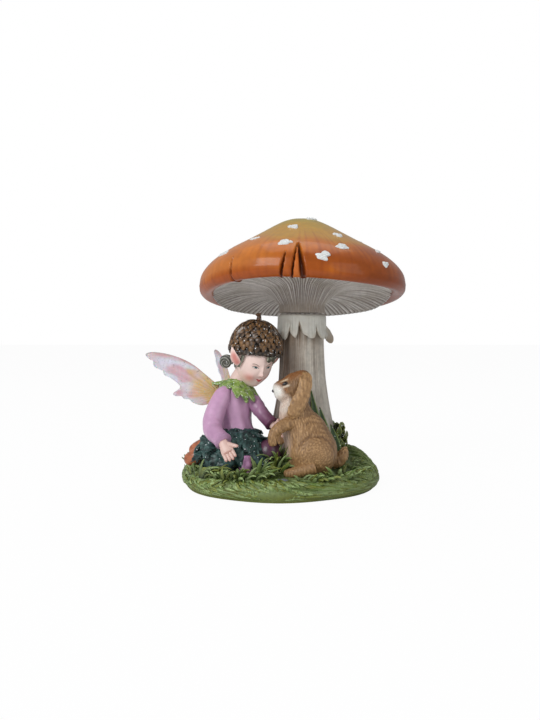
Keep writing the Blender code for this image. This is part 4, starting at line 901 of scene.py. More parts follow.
sleeves = sleeves + outward(sleeves) * creases[..., None]
shaded = array((0.25, 1.25))[:, None, None] * swell(run, 0.35, 1.0) + 0 * angle
sleeve_tint = coats(
    LILAC,
    ((150, 104, 146), 0.12 + 0.12 * mottle(sleeves, 0.012, 97)),
    ((100, 52, 80), 0.75 * shaded),
)
skin("sleeves", sleeves, sleeve_tint, cloth_resin)

# The hands. Smooth palms with four fingers and a thumb, painted the same pale pink as the face.
SKIN_PINK = (240, 212, 202)
skin_resin = resin("skin_resin", roughness=0.38, uneven=0.04, patch=300.0, bump=0.05)


def hand(wrist, reach, across, thumb, size):
    """A hand along its reach: a flat oval palm, four fingers fanned over it, a thumb to one side."""
    wrist, thumb = array(wrist), array(thumb)
    reach, across = unit(array(reach)), unit(array(across))
    scale = size / 0.0105
    over = np.cross(across, reach)
    palm = flow((wrist - 0.12 * size * reach, wrist + 0.12 * size * reach, wrist + 0.36 * size * reach,
        wrist + 0.56 * size * reach), 14)
    grids = [tube(palm[None], taper(14, (0, 0.3, 0.7, 0.92, 1), (0.0022, 0.0026, 0.0032, 0.0029, 0.0016))
        * scale, 16, 0.5, up=over)]
    side = array((-1.5, -0.5, 0.5, 1.5))[:, None]
    knuckle = wrist + 0.40 * size * reach + side * 0.00155 * scale * across
    long = array((0.50, 0.57, 0.58, 0.50))[:, None] * size
    fingertip = knuckle + long * (reach + 0.03 * side * across) - 0.0006 * over
    finger_line = np.moveaxis(flow(stack([knuckle, (knuckle + fingertip) / 2 + 0.0005 * over, fingertip]),
        14), 0, 1)
    grids.append(tube(finger_line, taper(14, (0, 0.45, 0.9, 1), (0.00098, 0.00090, 0.00078, 0.0003))
        * np.ones((4, 1)) * scale, 16, 0.9, up=over))
    base = wrist + 0.14 * size * reach + 0.0016 * across
    end = wrist + thumb
    thumb_line = flow((base, (base + end) / 2 + 0.0004 * over, end), 14)
    grids.append(tube(thumb_line[None], taper(14, (0, 0.5, 0.9, 1), (0.0015, 0.0011, 0.0008, 0.0003))
        * scale, 16, 0.9, up=over))
    return concatenate(grids)


hands = concatenate([
    hand((-0.0297, -0.0310, 0.0276), (0.46, -0.42, -0.80), (0.88, 0.10, 0.46), (0.0078, -0.0030, -0.0010),
    0.0108),
    hand((-0.0040, -0.0144, 0.0346), (0.75, -0.35, -0.45), (0.40, 0.2, 0.9), (0.0030, -0.0010, 0.0036),
    0.0092),
])
run = linspace(0, 1, 14)[None, :, None, None]
hand_tint = paint(224, 190, 178) + (paint(206, 142, 128) - paint(224, 190, 178)) * (0.55 * (run > 0.85))
skin("hands", hands, hand_tint, skin_resin)

# The collar. A ring of pointed leaves laid over her shoulders with a bib in front, toothed and veined,
# painted spring green with glitter. The neck rises through it to the head.
COLLAR = array((-0.0246, -0.0030, 0.0580))
LEAF_GREEN = (150, 180, 88)
angle = circle(300)[None]
out = concatenate([linspace(0.16, 1.0, 34), linspace(0.985, 0.16, 12)])[:, None]
under = (np.arange(46) >= 34)[:, None]
pointed = np.zeros_like(angle)
for bearing, size in ((-128, 1.0), (-104, 1.08), (-80, 1.06), (-52, 0.98), (-158, 0.76), (172, 0.82),
        (128, 1.06), (86, 0.82), (42, 0.86), (6, 0.76), (-20, 0.70)):
    apart = np.abs(degrees_from(angle, bearing))
    pointed = np.maximum(pointed, (size - 0.60) * exp(-((apart / 16.0) ** 1.8)))
pointed = pointed + 0.022 * np.abs(sin(21 * angle)) + 0.012 * sin(33 * angle + 1.0)
share = 1 + swell(out, 0.25, 1.0) * (-0.40 + pointed)
lifted = hill(degrees_from(angle, 128), 26)
drape = (0.50 + 0.50 * sin(angle) ** 2) * (1 - 0.85 * lifted)
fall = (
    np.interp(out * share, (0.0, 0.32, 0.62, 1.0, 1.15), (0.0026, 0.0020, -0.0022, -0.0098, -0.0122))
    * drape - 0.0010 * under
)
x, y = swing(0.0130 * out * share * cos(angle), 0.0118 * out * share * sin(angle), GIRL_TURN)
collar = COLLAR + xyz(x, y, fall)
crinkle = crinkled(collar, 98)
collar = collar + outward(collar) * (0.00022 * crinkle * (1 - under))[..., None]
collar_tint = coats(
    LEAF_GREEN,
    ((76, 104, 40), 0.45 - 0.45 * crinkle + 0.35 * swell(-pointed, -0.12, 0.0) * swell(out, 0.6, 0.9)),
    ((204, 216, 172), 0.35 * swell(mottle(collar, 0.0030, 89), 0.3, 0.9) + 0.25 * swell(out, 0.93, 1.0)),
)
collar_resin = resin("collar_resin", roughness=0.4, uneven=0.14, patch=1100.0, bump=0.4, glitter=0.12)
skin("leaf_collar", collar, collar_tint, collar_resin)
neck_line = flow(mm((-24.2, -3.0, 56.0), (-22.8, -3.6, 60.0), (-19.0, -4.6, 65.0), (-15.0, -5.2, 70.0)), 24)
neck = tube(neck_line[None], taper(24, (0, 0.4, 1), (0.0046, 0.0040, 0.0048)), 40, 1.0, up=(0, 1, 0))
skin("neck", neck, paint(232, 202, 192), skin_resin)

# The head. A doll's head bent over the rabbit, with a small nose, full cheeks, soft lips and hollows for the
# eyes. The face is painted by hand: blush, narrow teal eyes with dark lashes, thin brows and a red smile.
HEAD = array((-0.0144, -0.0060, 0.0684))
HEAD_RADII = array((0.0100, 0.0106, 0.0122))
EYE_ACROSS = 0.39
EYE_UP = 0.058


def head_place(local, turn=35.0, nod=22.0, middle=HEAD):
    """A point of the head, its face towards -Y, nodded about X, turned about Z and put in place."""
    y, z = swing(local[..., 1], local[..., 2], radians(nod))
    x, y = swing(local[..., 0], y, radians(turn))
    return middle + xyz(x, y, z)


marks = (0.04, 0.9, 1.30, 1.60, 2.0, 2.25, 2.8, pi - 0.04)
polar = np.interp(linspace(0, 1, 156), np.cumsum((0, 12, 14, 46, 26, 30, 22, 6)) / 156, marks)[:, None]
spread = linspace(-pi, pi, 180, endpoint=False)
spread = (spread - 0.55 * sin(spread))[None]
ball = xyz(sin(polar) * sin(spread), -sin(polar) * cos(spread), cos(polar))
across, up = ball[..., 0], ball[..., 2]
front = swell(-ball[..., 1], 0.05, 0.35)


def bump(at_across, at_up, wide, high):
    """A soft round hill on the face: e to the minus squared distance from its middle, on both axes."""
    return hill(across - at_across, wide) * hill(up - at_up, high) * front


def both(at_across, at_up, wide, high):
    """The same hill on both cheeks or eyes."""
    return bump(at_across, at_up, wide, high) + bump(-at_across, at_up, wide, high)


smile = up + 0.512 - 1.7 * across**2
nose = (
    0.0020 * bump(0, -0.24, 0.10, 0.10) + 0.0009 * bump(0, -0.02, 0.08, 0.20)
    + 0.0004 * both(0.10, -0.29, 0.06, 0.05)
)
cheeks = 0.0009 * both(0.48, -0.36, 0.24, 0.22)
sockets = -0.0007 * both(0.38, 0.07, 0.17, 0.11)
lids = 0.0004 * both(0.40, 0.05, 0.13, 0.045)
mouth = (
    hill(across, 0.17) * front * (0.0006 * hill(smile - 0.035, 0.035) + 0.0008 * hill(smile + 0.045, 0.040)
    - 0.0004 * hill(smile, 0.012))
)
chin = 0.0013 * bump(0, -0.80, 0.22, 0.14) + 0.0004 * bump(0, 0.45, 0.5, 0.3)
face = ball * HEAD_RADII
face[..., 0] *= 1 - 0.12 * swell(-up, 0.2, 0.95)
face[..., 2] *= 1 + 0.15 * swell(-up, 0.1, 0.9)
face = (
    face + xyz(0.25 * ball[..., 0], ball[..., 1], 0.15 * ball[..., 2])
    * (nose + cheeks + sockets + lids + mouth + chin)[..., None]
)
blush = (
    0.70 * both(0.54, -0.46, 0.22, 0.18) + 0.25 * bump(0, -0.26, 0.10, 0.08)
    + 0.20 * bump(0, -0.8, 0.2, 0.1)
)
face_tint = coats(
    SKIN_PINK,
    ((222, 128, 112), blush),
    # Painted shade: a darker pink in the crease over each eye and under the nostrils.
    ((206, 160, 146), 0.45 * both(0.40, 0.12, 0.17, 0.05) + 0.3 * both(0.10, -0.31, 0.05, 0.03)),
)
for side in (-1, 1):
    along = (across - side * EYE_ACROSS) * side / 0.150
    arch = np.sqrt(np.clip(1 - along**2, 0, 1))
    upper = EYE_UP + 0.012 * along + 0.048 * arch
    lower = EYE_UP + 0.012 * along - 0.030 * arch
    inside = swell(np.minimum(upper - up, up - lower), 0.0, 0.008) * (np.abs(along) < 1) * front
    face_tint = coats(face_tint, ((214, 212, 204), inside))
    gaze = np.hypot((across - side * EYE_ACROSS - 0.012) / 0.080, (up - 0.062) / 0.050)
    face_tint = coats(
        face_tint,
        ((6, 84, 90), swell(1.0 - gaze, 0.0, 0.15) * inside),
        ((8, 18, 22), swell(0.55 - gaze, 0.0, 0.12) * inside),
    )
    lash = hill(up - upper - 0.005, 0.015) * (1 - swell(np.abs(along), 1.05, 1.25)) * front
    face_tint = coats(
        face_tint,
        ((34, 26, 26), 0.95 * lash),
        ((120, 82, 74), 0.55 * hill(up - lower, 0.007) * (np.abs(along) < 1.05) * front),
    )
    brow_along = (across - side * EYE_ACROSS) * side / 0.19
    brow = (
        hill(up - 0.215 - 0.040 * brow_along + 0.055 * brow_along**2, 0.018)
        * (1 - swell(np.abs(brow_along), 0.8, 1.1)) * front
    )
    face_tint = coats(face_tint, ((104, 70, 46), 0.9 * brow))
lips = swell(1.0 - np.hypot(across / 0.22, smile / 0.052), 0.0, 0.25) * front
face_tint = coats(
    face_tint,
    ((204, 62, 66), 0.92 * lips),
    ((110, 26, 32), 0.7 * hill(smile, 0.009) * (np.abs(across) < 0.20) * front),
)
hairy = (
    swell(ball[..., 1] - 0.35 * swell(across, 0.2, 0.5), -0.10, 0.02)
    * swell(up + 0.42 * swell(ball[..., 1], 0.30, 0.65), -0.42, -0.25)
)
strands = sin(60 * spread + 5 * sin(5 * polar)) * 0.5 + 0.5
face = face + ball * (0.0006 * hairy + 0.0003 * hairy * strands)[..., None]
face_tint = blend(face_tint, coats((44, 42, 38), ((120, 116, 106), strands * 0.8)), hairy)
x, y = swing(face[..., 0], face[..., 1], -0.09)
skin("head", head_place(xyz(x, y, face[..., 2])), face_tint, skin_resin)

# The ears: long and pointed, cupped towards the front with a blush inside, one on each side of the head.
ear_lines = stack([flow(((side * 0.0104, -0.0024, -0.0008), (side * 0.0128, -0.0016, 0.0022),
    (side * 0.0143, -0.0004, 0.0050), (side * 0.0151, 0.0018, 0.0084)), 26) for side in (-1, 1)])
ear_width = taper(26, (0, 0.1, 0.35, 0.6, 0.85, 1.0), (0.0008, 0.0018, 0.0024, 0.0021, 0.0011, 0.0002))
ear_up = array(((-0.75, -0.65, 0.1), (0.75, -0.65, 0.1)))[:, None]
ears = tube(ear_lines, np.broadcast_to(ear_width, (2, 26)), 28, 0.36, up=ear_up)
angle = circle(28)[None, None]
run = linspace(0, 1, 26)[None, :, None]
cup = 0.0011 * np.abs(cos(angle)) ** 2 * sin(pi * run)
ears = ears + cup[..., None] * ear_up[:, None]
facing = np.einsum("nrci,ni->nrc", outward(ears), ear_up[:, 0])
inside = (
    swell(facing, 0.3, 0.8) * (1 - np.abs(cos(angle)) ** 2) * swell(run, 0.06, 0.2)
    * (1 - swell(run, 0.62, 0.9))
)
skin("ears", head_place(ears), coats(SKIN_PINK, ((206, 96, 84), 0.75 * inside)), skin_resin)

# The hair. Combed rolls of dark hair brushed with grey: a coiled bun behind each ear, a curl in front of it,
# and a short fringe that shows only under the far side of the hat's brim.
hair_resin = resin("hair_resin", roughness=0.45, uneven=0.2, patch=1400.0, bump=0.5)
turns = linspace(0.0, 2 * pi * 1.5, 64)
coils = []
for side in (-1, 1):
    facing = array((side * 0.72, -0.69, 0.0))
    beside = array((0.69, side * 0.72, 0.0))
    ring_radius = (0.0027 - 0.0018 * turns / turns[-1])[:, None]
    middle = (
        array((side * 0.0116, 0.0092, -0.0040)) + facing * (-0.0010 * turns / turns[-1] + 0.0004)[:, None]
    )
    coils.append(middle + ring_radius * (cos(turns)[:, None] * beside
        + sin(turns)[:, None] * (0.0, 0.0, 1.1)))
coil_up = array(((-0.72, -0.69, 0.01), (0.72, -0.69, 0.01)))[:, None]
coil_grids = tube(stack(coils), taper(64, (0, 0.1, 0.6, 1), (0.0010, 0.0018, 0.0013, 0.0005))
    * np.ones((2, 1)), 24, 1.0, up=coil_up)
angle = circle(24)[None, None]
twist = 0.5 + 0.5 * sin(7 * angle + 0.45 * np.arange(64)[None, :, None])
coil_grids = coil_grids + outward(coil_grids) * (0.00022 * twist)[..., None]
skin("hair_buns", head_place(coil_grids), coats((34, 34, 30),
    ((186, 186, 174), 0.85 * twist**2 * (1 - swell(np.arange(64), 44, 56))[None, :, None])), hair_resin)
lock_roots = [((side * 0.0102, -0.0031, 0.0056), (side * 0.0108, -0.0029, 0.0020),
    (side * 0.0110, -0.0020, -0.0012), (side * 0.0113, -0.0006, -0.0004)) for side in (-1, 1)]
for number, bearing in enumerate(radians(linspace(6, 84, 16))):
    wave = 0.8 + 0.3 * sin(1.9 * number)
    start = array((0.0102 * sin(bearing), -0.0108 * cos(bearing), 0.0070))
    lock_roots.append((start, start * (1.06, 1.06, 1.0) - (0.0003, 0, 0.0008 * wave),
        start * (1.07, 1.07, 1.0) - (0.0006, 0, 0.0017 * wave),
        start * (1.04, 1.04, 1.0) - (0.0010, 0, 0.0024 * wave)))
lock_lines = stack([flow(points, 14) for points in lock_roots])
locks = tube(lock_lines, taper(14, (0, 0.3, 0.8, 1.0), (0.0010, 0.0011, 0.0007, 0.00015))
    * np.ones((18, 1)), 12, 0.6, up=lock_lines[:, :1] * (1.0, 1.0, 0.1))
edges = np.broadcast_to(np.abs(cos(circle(12))), locks.shape[:-1]) ** 2
skin("hair_locks", head_place(locks), coats((62, 62, 50), ((160, 160, 140), edges)), hair_resin)

# The hat. An acorn cup worn stalk upwards: rows of pointed scales that overlap down to a thick lumpy rim,
# each with a brown face and dark edges, dusted with frost-white glitter in patches.
HAT = array((-0.0140, -0.0044, 0.0734))
HAT_RADIUS = 0.0143
HAT_HEIGHT = 0.0176
hat_resin = resin("hat_resin", roughness=0.38, uneven=0.30, patch=1500.0, bump=0.6, glitter=0.06)


def hat_place(local):
    """A point of the hat, tipped a little to her left, nodded and turned with the head."""
    x, z = swing(local[..., 0], local[..., 2], -radians(5.0))
    return head_place(xyz(x + 0.0004, local[..., 1], z), nod=2.0, middle=HAT)


rim_line = flow(((0.0012, HAT_HEIGHT), (0.0052, 0.0166), (0.0098, 0.0125), (0.0125, 0.0078),
    (0.0134, 0.0036), (0.0138, 0.0016), (0.0141, 0.0004), (0.0138, -0.0008), (0.0128, -0.0010),
    (0.0110, 0.0002), (0.0010, 0.0010)), 64)
angle = circle(160)[None]
hat_core = upright((0.0, 0.0), rim_line[:, :1], angle, rim_line[:, 1:])
rim = 1 - swell(rim_line[:, 1:], 0.0004, 0.0020)
lumps = np.abs(sin(17 * angle + 1.5 * sin(3 * angle))) + 0.5 * mottle(hat_core, 0.0016, 104)
hat_core = (
    hat_core + outward(hat_core) * (0.0005 * rim * lumps + 0.0001 * mottle(hat_core, 0.001, 105))[..., None]
)
core_tint = coats((36, 28, 22), ((78, 60, 44), 0.4 + 0.5 * mottle(hat_core, 0.002, 101)))
core_tint = blend(core_tint, coats((34, 28, 24), ((104, 88, 70), 0.8 * lumps - 0.3)), rim)
skin("hat_cup", hat_place(hat_core), core_tint, hat_resin)
SCALE_ROWS = 11
PER_ROW = 24
row = np.repeat(np.arange(SCALE_ROWS), PER_ROW)
column = np.tile(np.arange(PER_ROW), SCALE_ROWS)
chance = np.random.default_rng(102)
count = len(row)
bearing = (column + 0.5 * (row % 2) + chance.normal(0, 0.10, count)) / PER_ROW * 2 * pi


def hat_shell(climb, bearing, proud):
    """A point over the hat's dome: climb runs from 0 at the rim to 1 at the crown, plus a height."""
    rise = climb * pi / 2
    radius = HAT_RADIUS * cos(rise) ** 0.85
    way = xyz(cos(rise) * cos(bearing), cos(rise) * sin(bearing), sin(rise))
    return (
        xyz(radius * cos(bearing), radius * sin(bearing), HAT_HEIGHT * sin(rise))
        + way * np.asarray(proud)[..., None]
    )


climb = 0.055 + 0.915 * row / SCALE_ROWS + chance.normal(0, 0.008, count)
lift = chance.uniform(0.0003, 0.0010, count)
scale_lines = stack([hat_shell(np.minimum(climb + 0.12, 0.998), bearing, -0.0003 + 0 * bearing),
    hat_shell(climb + 0.045, bearing, 0.4 * lift + 0.0001),
    hat_shell(climb - 0.05, bearing + chance.normal(0, 0.03, count), lift)])
scale_lines = np.moveaxis(flow(scale_lines, 9), 0, 1)
out_way = hat_shell(climb, bearing, 0.001 + 0 * bearing) - hat_shell(climb, bearing, 0 * bearing)
half = pi * HAT_RADIUS * cos(climb * pi / 2) ** 0.85 / PER_ROW * 1.08
run = linspace(0, 1, 9)
scales = tube(scale_lines, taper(9, (0, 0.45, 0.8, 1.0), (0.25, 1.0, 0.62, 0.10)) * half[:, None], 10, 0.40,
    up=out_way[:, None])
angle = circle(10)[None, None]
frost = swell(mottle(scales, 0.0065, 107) + 0.6 * mottle(scales, 0.0010, 108)
    + 25 * (scales[..., 2] - 0.012), 0.85, 1.6)
brown = coats(
    (136, 98, 54),
    ((60, 46, 36), chance.uniform(0, 1, (count, 1, 1)) + 0.5 * mottle(scales, 0.0012, 106)),
)
scale_tint = blend(brown, paint(24, 20, 18), 0.95 * np.abs(cos(angle)) ** 3
    + 0.6 * (run[None, :, None] < 0.3))
scale_tint = coats(scale_tint, ((206, 202, 198), 0.65 * frost))
skin("hat_scales", hat_place(scales), scale_tint, hat_resin)
stalk_line = flow(mm((0.2, 0.0, 16.3), (0.4, 0.0, 18.3), (0.3, 0.0, 20.0), (-0.2, 0.0, 21.0),
    (-0.4, 0.0, 21.7)), 24)
stalk = tube(stalk_line[None], taper(24, (0, 0.35, 0.6, 0.8, 0.95, 1),
    (0.0020, 0.0013, 0.0011, 0.0018, 0.0014, 0.0006)), 20, 1.0, up=(0, 1, 0.1))
skin("hat_stalk", hat_place(stalk), coats((112, 76, 48),
    ((44, 30, 22), 0.4 + 0.4 * mottle(stalk, 0.002, 103))), hat_resin)

# The wings. Two thin castings of clear tinted resin glued in slots in her back, pleated from the root
# out to a scalloped edge: yellow at the root, pink, then frosted white, with glitter along the veins.
WING_SPAN = 0.0423
WING_HEIGHT = 0.0260
WING_OUTLINE = array((
    (0.0, 0.30), (0.10, 0.42), (0.23, 0.60), (0.37, 0.78), (0.52, 0.91), (0.71, 1.01), (0.90, 1.05),
    (0.99, 1.0), (0.94, 0.90),
    (0.895, 0.86), (0.885, 0.76), (0.84, 0.70), (0.77, 0.66), (0.745, 0.56), (0.66, 0.49), (0.54, 0.31),
    (0.63, 0.17), (0.60, 0.11),
    (0.53, 0.11), (0.49, 0.05), (0.42, 0.035), (0.38, -0.03), (0.32, -0.07), (0.25, -0.09), (0.17, -0.07),
    (0.0, -0.05),
))
CLEAR = {"Transmission Weight": 0.25, "Subsurface Weight": 0.35, "Subsurface Scale": 0.002}
wing_resin = resin("wing_resin", roughness=0.3, coat=0.3, uneven=0.08, patch=500.0, bump=0.3, grain=1400.0,
    glitter=0.10, more=CLEAR)
outline = flow(WING_OUTLINE * (WING_SPAN, WING_HEIGHT), 220)
wing_heart = array((0.0, 0.13 * WING_HEIGHT))
reach = linspace(0.0, 1.0, 28)
reach = concatenate([reach, reach[-2:0:-1]])[None, :, None]
face_side = np.where(np.arange(54) < 28, 1.0, -1.0)[None]
flat = wing_heart + (outline[:, None] - wing_heart) * reach
bearing = np.arctan2(outline[:, 1] - wing_heart[1], outline[:, 0] + 0.002)[:, None]
size = np.hypot(flat[..., 0], flat[..., 1] - wing_heart[1])
thick = (
    0.00065 * (1 - 0.6 * swell(reach[..., 0], 0.55, 1.0))
    * sin(pi / 2 * np.clip((1 - reach[..., 0]) * 9, 0, 1)) ** 0.5
)
pleat = 0.5 + 0.5 * sin(46 * bearing + 2.5 * sin(3 * bearing) + 40 * size)
thick = thick * (0.72 + 0.28 * pleat)
wing_flat = xyz(flat[..., 0], face_side * thick, flat[..., 1])
lead = swell(bearing, 0.35, 0.60) * swell(reach[..., 0], 0.80, 0.97)
out = flat[..., 0] / WING_SPAN
wing_tint = coats(
    (222, 190, 108),
    ((226, 186, 196), swell(out + 0.10 * mottle(wing_flat, 0.009, 110), 0.16, 0.42)),
    ((232, 234, 244), swell(reach[..., 0] + 0.30 * mottle(wing_flat, 0.010, 111), 0.42, 0.85)
        * swell(out, 0.15, 0.4)),
    ((236, 196, 120), 0.7 * hill(out - 0.32, 0.10) * hill(flat[..., 1] / WING_HEIGHT - 0.30, 0.22)),
    ((214, 140, 128), 0.70 * lead),
    ((214, 120, 132), 0.6 * hill(out - 0.56, 0.09) * hill(flat[..., 1] / WING_HEIGHT - 0.20, 0.12)),
    ((240, 232, 238), 0.22 * pleat),
)
for name, heading, root in (("wing_right", 181.0, (-0.0326, -0.0008, 0.0463)),
        ("wing_left", 109.0, (-0.0266, 0.0056, 0.0463))):
    x, y = swing(wing_flat[..., 0], wing_flat[..., 1], radians(heading))
    wing = xyz(x, y, wing_flat[..., 2]) + root
    skin(name + "_dressed", wing, wing_tint, wing_resin, name)

# The rabbit. A lop-eared rabbit that sits up with its paws on the girl's hand, cast with the turf: one body
# swollen from soft overlapping forms, with combed fur, tan paint, a cream face and belly and dark eyes.
RABBIT_SEAT = array((0.0165, -0.0180, 0.0088))
RABBIT_FORMS = (
    ((0.0, 0.0, 0.0125), (0.0137, 0.0120, 0.0140), 0), ((-0.0030, 0.0010, 0.0215), (0.0118, 0.0105, 0.0130),
    -24),
    ((-0.0082, 0.0005, 0.0300), (0.0088, 0.0084, 0.0140), -10),
    ((-0.0086, 0.0, 0.0466), (0.0073, 0.0074, 0.0076), 0),
    ((-0.0150, -0.0002, 0.0446), (0.0046, 0.0046, 0.0046), 0),
    ((-0.0174, -0.0002, 0.0478), (0.0031, 0.0032, 0.0018), -30),
    ((-0.0050, 0.0, 0.0530), (0.0036, 0.0056, 0.0026), -10),
    ((0.0008, -0.0064, 0.0118), (0.0108, 0.0066, 0.0112), 0),
    ((0.0008, 0.0064, 0.0118), (0.0108, 0.0066, 0.0112), 0),
    ((-0.0166, -0.0026, 0.0430), (0.0026, 0.0026, 0.0027), 0),
    ((-0.0166, 0.0022, 0.0430), (0.0026, 0.0026, 0.0027), 0),
)
RABBIT_EYE = array((-0.0143, 0.0048, 0.0490))
TAN = (148, 112, 72)
TAN_DARK = (92, 64, 42)
TAN_PALE = (194, 154, 108)
CREAM_FUR = (238, 236, 228)


def swollen(points, blend_over=0.0009):
    """How far points lie outside the forms: minus a length times the log of summed nearness."""
    total = 0.0
    for centre, radii, lean in RABBIT_FORMS:
        apart = points - centre
        x, z = swing(apart[..., 0], apart[..., 2], radians(lean))
        far = np.sqrt((x / radii[0]) ** 2 + (apart[..., 1] / radii[1]) ** 2 + (z / radii[2]) ** 2)
        total = total + exp(-(far - 1) * min(radii) / blend_over)
    return -blend_over * np.log(total + 1e-30)


rows, columns = 166, 176
run = linspace(0, 1, rows)
spine = flow(mm((0.0, 0.0, 6.0), (-1.0, 0.0, 14.0), (-4.0, 0.3, 23.0), (-8.2, 0.3, 32.0),
    (-10.0, 0.0, 40.0), (-11.5, 0.0, 46.5)), 200)
body = np.clip((run - 0.10) / 0.66, 0, 1)
start = stack([np.interp(body, linspace(0, 1, 200), spine[:, axis]) for axis in range(3)], axis=-1)
pitch = (
    -pi / 2 * 0.97 * np.clip((0.10 - run) / 0.10, 0, 1) + pi / 2 * 0.985
    * np.clip((run - 0.76) / 0.24, 0, 1)
)
angle = circle(columns)
rays = xyz(cos(pitch)[:, None] * cos(angle), cos(pitch)[:, None] * sin(angle), sin(pitch)[:, None])
steps = linspace(0.0, 0.026, 66)
depth = swollen(start[:, None, None] + rays[:, :, None] * steps[:, None])
last = (steps.size - 1 - np.argmax(depth[..., ::-1] <= 0, axis=-1)).clip(0, steps.size - 2)
inner = np.take_along_axis(depth, last[..., None], -1)[..., 0]
outer = np.take_along_axis(depth, last[..., None] + 1, -1)[..., 0]
reach = steps[last] + (steps[1] - steps[0]) * np.clip(inner / (inner - outer + 1e-12), 0, 1)
rabbit = start[:, None] + rays * reach[..., None]
x, y, z = rabbit[..., 0], rabbit[..., 1], rabbit[..., 2]
around = np.arctan2(z - 0.0112, x - 0.0018)
hip = np.hypot((x - 0.0018) / 0.0104, (z - 0.0112) / 0.0108)
beside = swell(np.abs(y), 0.004, 0.008)
haunch = (1 - swell(hip, 0.92, 1.06)) * beside
down_coat = (
    mottle(rabbit * (1.0, 1.0, 0.26), 0.0012, 120) + 0.5 * mottle(rabbit * (1.0, 1.0, 0.3), 0.0007, 121)
)
round_coat = mottle(xyz(hip * 0.0106, y, around * 0.0046), 0.0011, 119)
fur = down_coat * (1 - 0.75 * haunch) + 0.85 * round_coat * haunch
rabbit_out = outward(rabbit)
near_face = hill(x + 0.0185, 0.0050) * hill(y, 0.0085) * hill(z - 0.0430, 0.0058)
smooth = 1 - 0.8 * swell(near_face, 0.2, 0.7)
crease = hill(hip - 1.0, 0.055) * beside * swell(sin(around + 0.35), -0.25, 0.2)
rabbit = rabbit + rabbit_out * (0.00015 * fur * smooth - 0.0006 * crease)[..., None]
throat = hill(x + 0.0152, 0.0052) * hill(z - 0.0385, 0.0060)
brow_bone = swell(z - 0.45 * x, 0.0540, 0.0580) * swell(-x, 0.002, 0.006)
belly = (
    swell(-rabbit_out[..., 0], 0.30, 0.80) * swell(z, 0.006, 0.012) * (1 - swell(z, 0.036, 0.042))
    * (1 - swell(np.abs(y), 0.004, 0.0090))
)
rabbit_tint = coats(
    TAN,
    (TAN_PALE, 0.85 * swell(fur, 0.0, 1.0) + 0.20 * mottle(rabbit, 0.012, 122)),
    (TAN_DARK, 0.5 * swell(-fur, 0.35, 1.2) + 0.45 * crease),
    ((112, 82, 62), 0.30 * swell(rabbit_out[..., 0], 0.2, 0.9)),
    ((106, 74, 44), 0.62 * swell(z, 0.037, 0.046)),
    ((222, 198, 182), 0.80 * belly),
    ((150, 92, 46), 0.6 * brow_bone),
    (CREAM_FUR, 0.97 * swell(near_face, 0.22, 0.55)),
    ((222, 208, 194), 0.85 * swell(throat, 0.25, 0.7)),
)
for side in (-1, 1):
    by_side = swell(side * y, 0.0018, 0.0034)
    along = ((x - RABBIT_EYE[0]) * 0.94 + (z - RABBIT_EYE[2]) * 0.34) * 1000
    above = ((z - RABBIT_EYE[2]) * 0.94 - (x - RABBIT_EYE[0]) * 0.34) * 1000
    rabbit_tint = coats(
        rabbit_tint,
        ((224, 204, 170), 0.85 * exp(-((along / 2.4) ** 4)) * hill(above - 1.5, 0.42) * by_side),
        ((226, 216, 196), 0.8 * exp(-((along / 2.2) ** 4)) * hill(above + 1.5, 0.5) * by_side),
        ((40, 26, 20), 0.97 * (1 - swell(np.hypot(along / 1.75, above / 1.05), 0.85, 1.1)) * by_side),
    )
mouth_line = (
    hill(z - 0.0412 - 0.14 * np.abs(y + 0.0006), 0.00030) * swell(-x, 0.0170, 0.0180) * (np.abs(y) < 0.0035)
)
freckle = swell(sin(5200 * (x + 0.3 * z)) * sin(4600 * (z - 0.3 * x)), 0.35, 0.8)
cheek = swell(near_face, 0.05, 0.2) * (1 - swell(near_face, 0.45, 0.65)) * swell(np.abs(y), 0.002, 0.004)
rabbit_tint = coats(
    rabbit_tint,
    ((196, 110, 52), 0.75 * freckle * cheek),
    ((112, 84, 76), 0.7 * mouth_line),
)
fur_resin = resin("fur_resin", roughness=0.50, uneven=0.12, patch=900.0, bump=0.5, grain=2200.0)
skin("rabbit_body", RABBIT_SEAT + rabbit, rabbit_tint, fur_resin)


def furry(name, lines, widths, flat, up, columns, seed, pale=0.0, size=0.00015):
    """Rabbit limbs: tubes with combed fur in relief, painted tan with pale and dark strokes along the fur."""
    grids = tube(lines, widths, columns, flat, up)
    fur = mottle(grids * (1.0, 1.0, 0.35), 0.0012, seed)
    grids = grids + outward(grids) * (size * fur)[..., None]
    tint = coats(
        TAN,
        (TAN_PALE, pale + 0.6 * swell(fur, 0.0, 1.0)),
        (TAN_DARK, 0.4 * swell(-fur, 0.35, 1.2)),
    )
    skin(name, RABBIT_SEAT + grids, tint, fur_resin)


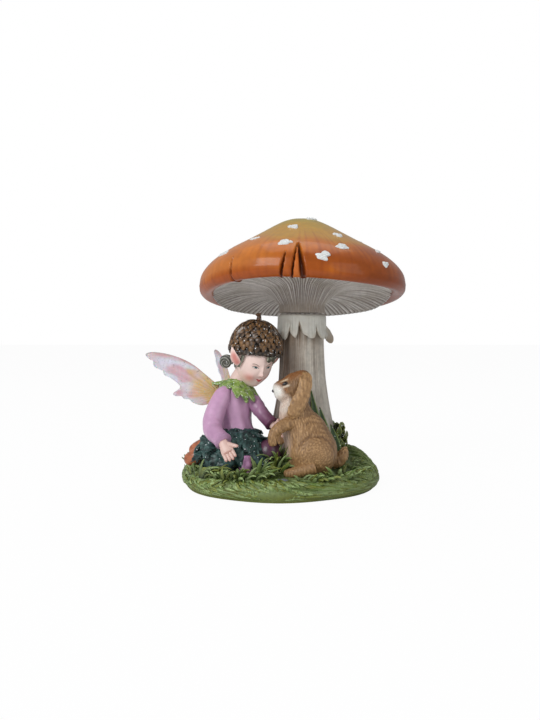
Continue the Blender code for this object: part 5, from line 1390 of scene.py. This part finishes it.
ear_lines = stack([
    flow(mm((-4.8, -3.6, 54.0), (-3.6, -7.0, 51.2), (-4.6, -8.8, 45.0), (-7.2, -9.2, 39.0),
    (-9.8, -8.6, 33.8), (-10.8, -8.0, 31.0)), 60),
    flow(mm((-4.8, 3.6, 54.0), (-3.6, 6.8, 51.0), (-4.6, 8.6, 45.0), (-7.0, 9.0, 39.0), (-9.2, 8.4, 33.8),
    (-10.0, 7.8, 31.0)), 60),
])
ear_width = taper(60, (0, 0.12, 0.35, 0.6, 0.85, 0.96, 1.0),
    (0.0024, 0.0034, 0.0036, 0.0042, 0.0033, 0.0018, 0.0006))
furry("rabbit_ears", ear_lines, np.broadcast_to(ear_width, (2, 60)), 0.42,
    array(((0.05, -1.0, 0.1), (0.05, 1.0, 0.1)))[:, None], 48, 123, 0.15)
arm_lines = stack([
    flow(mm((-9.0, -4.0, 29.0), (-13.0, -6.6, 28.0), (-17.6, -9.0, 25.8), (-20.4, -9.9, 22.8),
    (-20.8, -10.2, 19.6), (-20.0, -10.2, 16.8)), 56),
    flow(mm((-9.0, 4.5, 28.5), (-12.6, 4.2, 26.8), (-15.6, 3.4, 24.2), (-16.8, 2.0, 21.0),
    (-16.4, 1.0, 18.0), (-15.6, 0.6, 16.0)), 56),
])
arm_width = taper(56, (0, 0.25, 0.5, 0.75, 0.93, 1.0), (0.0040, 0.0034, 0.0028, 0.0023, 0.0020, 0.0009))
furry("rabbit_arms", arm_lines, np.broadcast_to(arm_width, (2, 56)) * array(((1.0,), (0.9,))), 0.9,
    (0.2, -1.0, 0.1), 44, 124, 0.05)
foot_lines = stack([
    flow(mm((1.0, -9.4, 5.6), (-5.6, -10.4, 4.0), (-10.8, -11.2, 2.8), (-15.0, -11.6, 2.4)), 44),
    flow(mm((1.0, 8.8, 5.6), (-5.6, 9.2, 4.0), (-10.4, 9.4, 2.8), (-14.2, 9.6, 2.4)), 44),
])
foot_width = taper(44, (0, 0.3, 0.7, 0.92, 1.0), (0.0050, 0.0042, 0.0030, 0.0022, 0.0010))
furry("rabbit_feet", foot_lines, np.broadcast_to(foot_width, (2, 44)), 0.86, (0.0, 0.0, 1.0), 40, 125, 0.05)
tail_line = flow(mm((11.2, 3.8, 5.0), (14.6, 4.0, 6.6), (17.2, 4.2, 9.6), (18.8, 4.4, 14.2)), 40)[None]
furry("rabbit_tail", tail_line, taper(40, (0, 0.3, 0.7, 0.93, 1.0),
    (0.0030, 0.0036, 0.0032, 0.0016, 0.0004)), 0.7, (0.2, 1.0, 0.1), 44, 126, 0.10, 0.0003)

# The rabbit's eyes and nose: dark glossy almond beads, and a small grey nose.
bead_resin = resin("bead_resin", roughness=0.12, coat=1.0, uneven=0.05, patch=300.0, bump=0.0)
ball = ball_of(linspace(0.06, pi - 0.06, 18)[:, None], circle(28))
almond = ball * (0.0013, 0.0010, 0.0008)
almond = xyz(almond[..., 0] * 0.94 - almond[..., 2] * 0.34, almond[..., 1],
    almond[..., 2] * 0.94 + almond[..., 0] * 0.34)
beads = stack([RABBIT_EYE * (1, -1, 1) + almond, RABBIT_EYE + almond,
    array((-0.0203, -0.0004, 0.0447)) + ball * (0.0009, 0.0017, 0.0009)])
bead_tint = stack([np.broadcast_to(paint(*shade), ball.shape)
    for shade in ((18, 14, 14), (18, 14, 14), (62, 60, 68))])
skin("rabbit_beads", RABBIT_SEAT + beads, bead_tint, bead_resin)
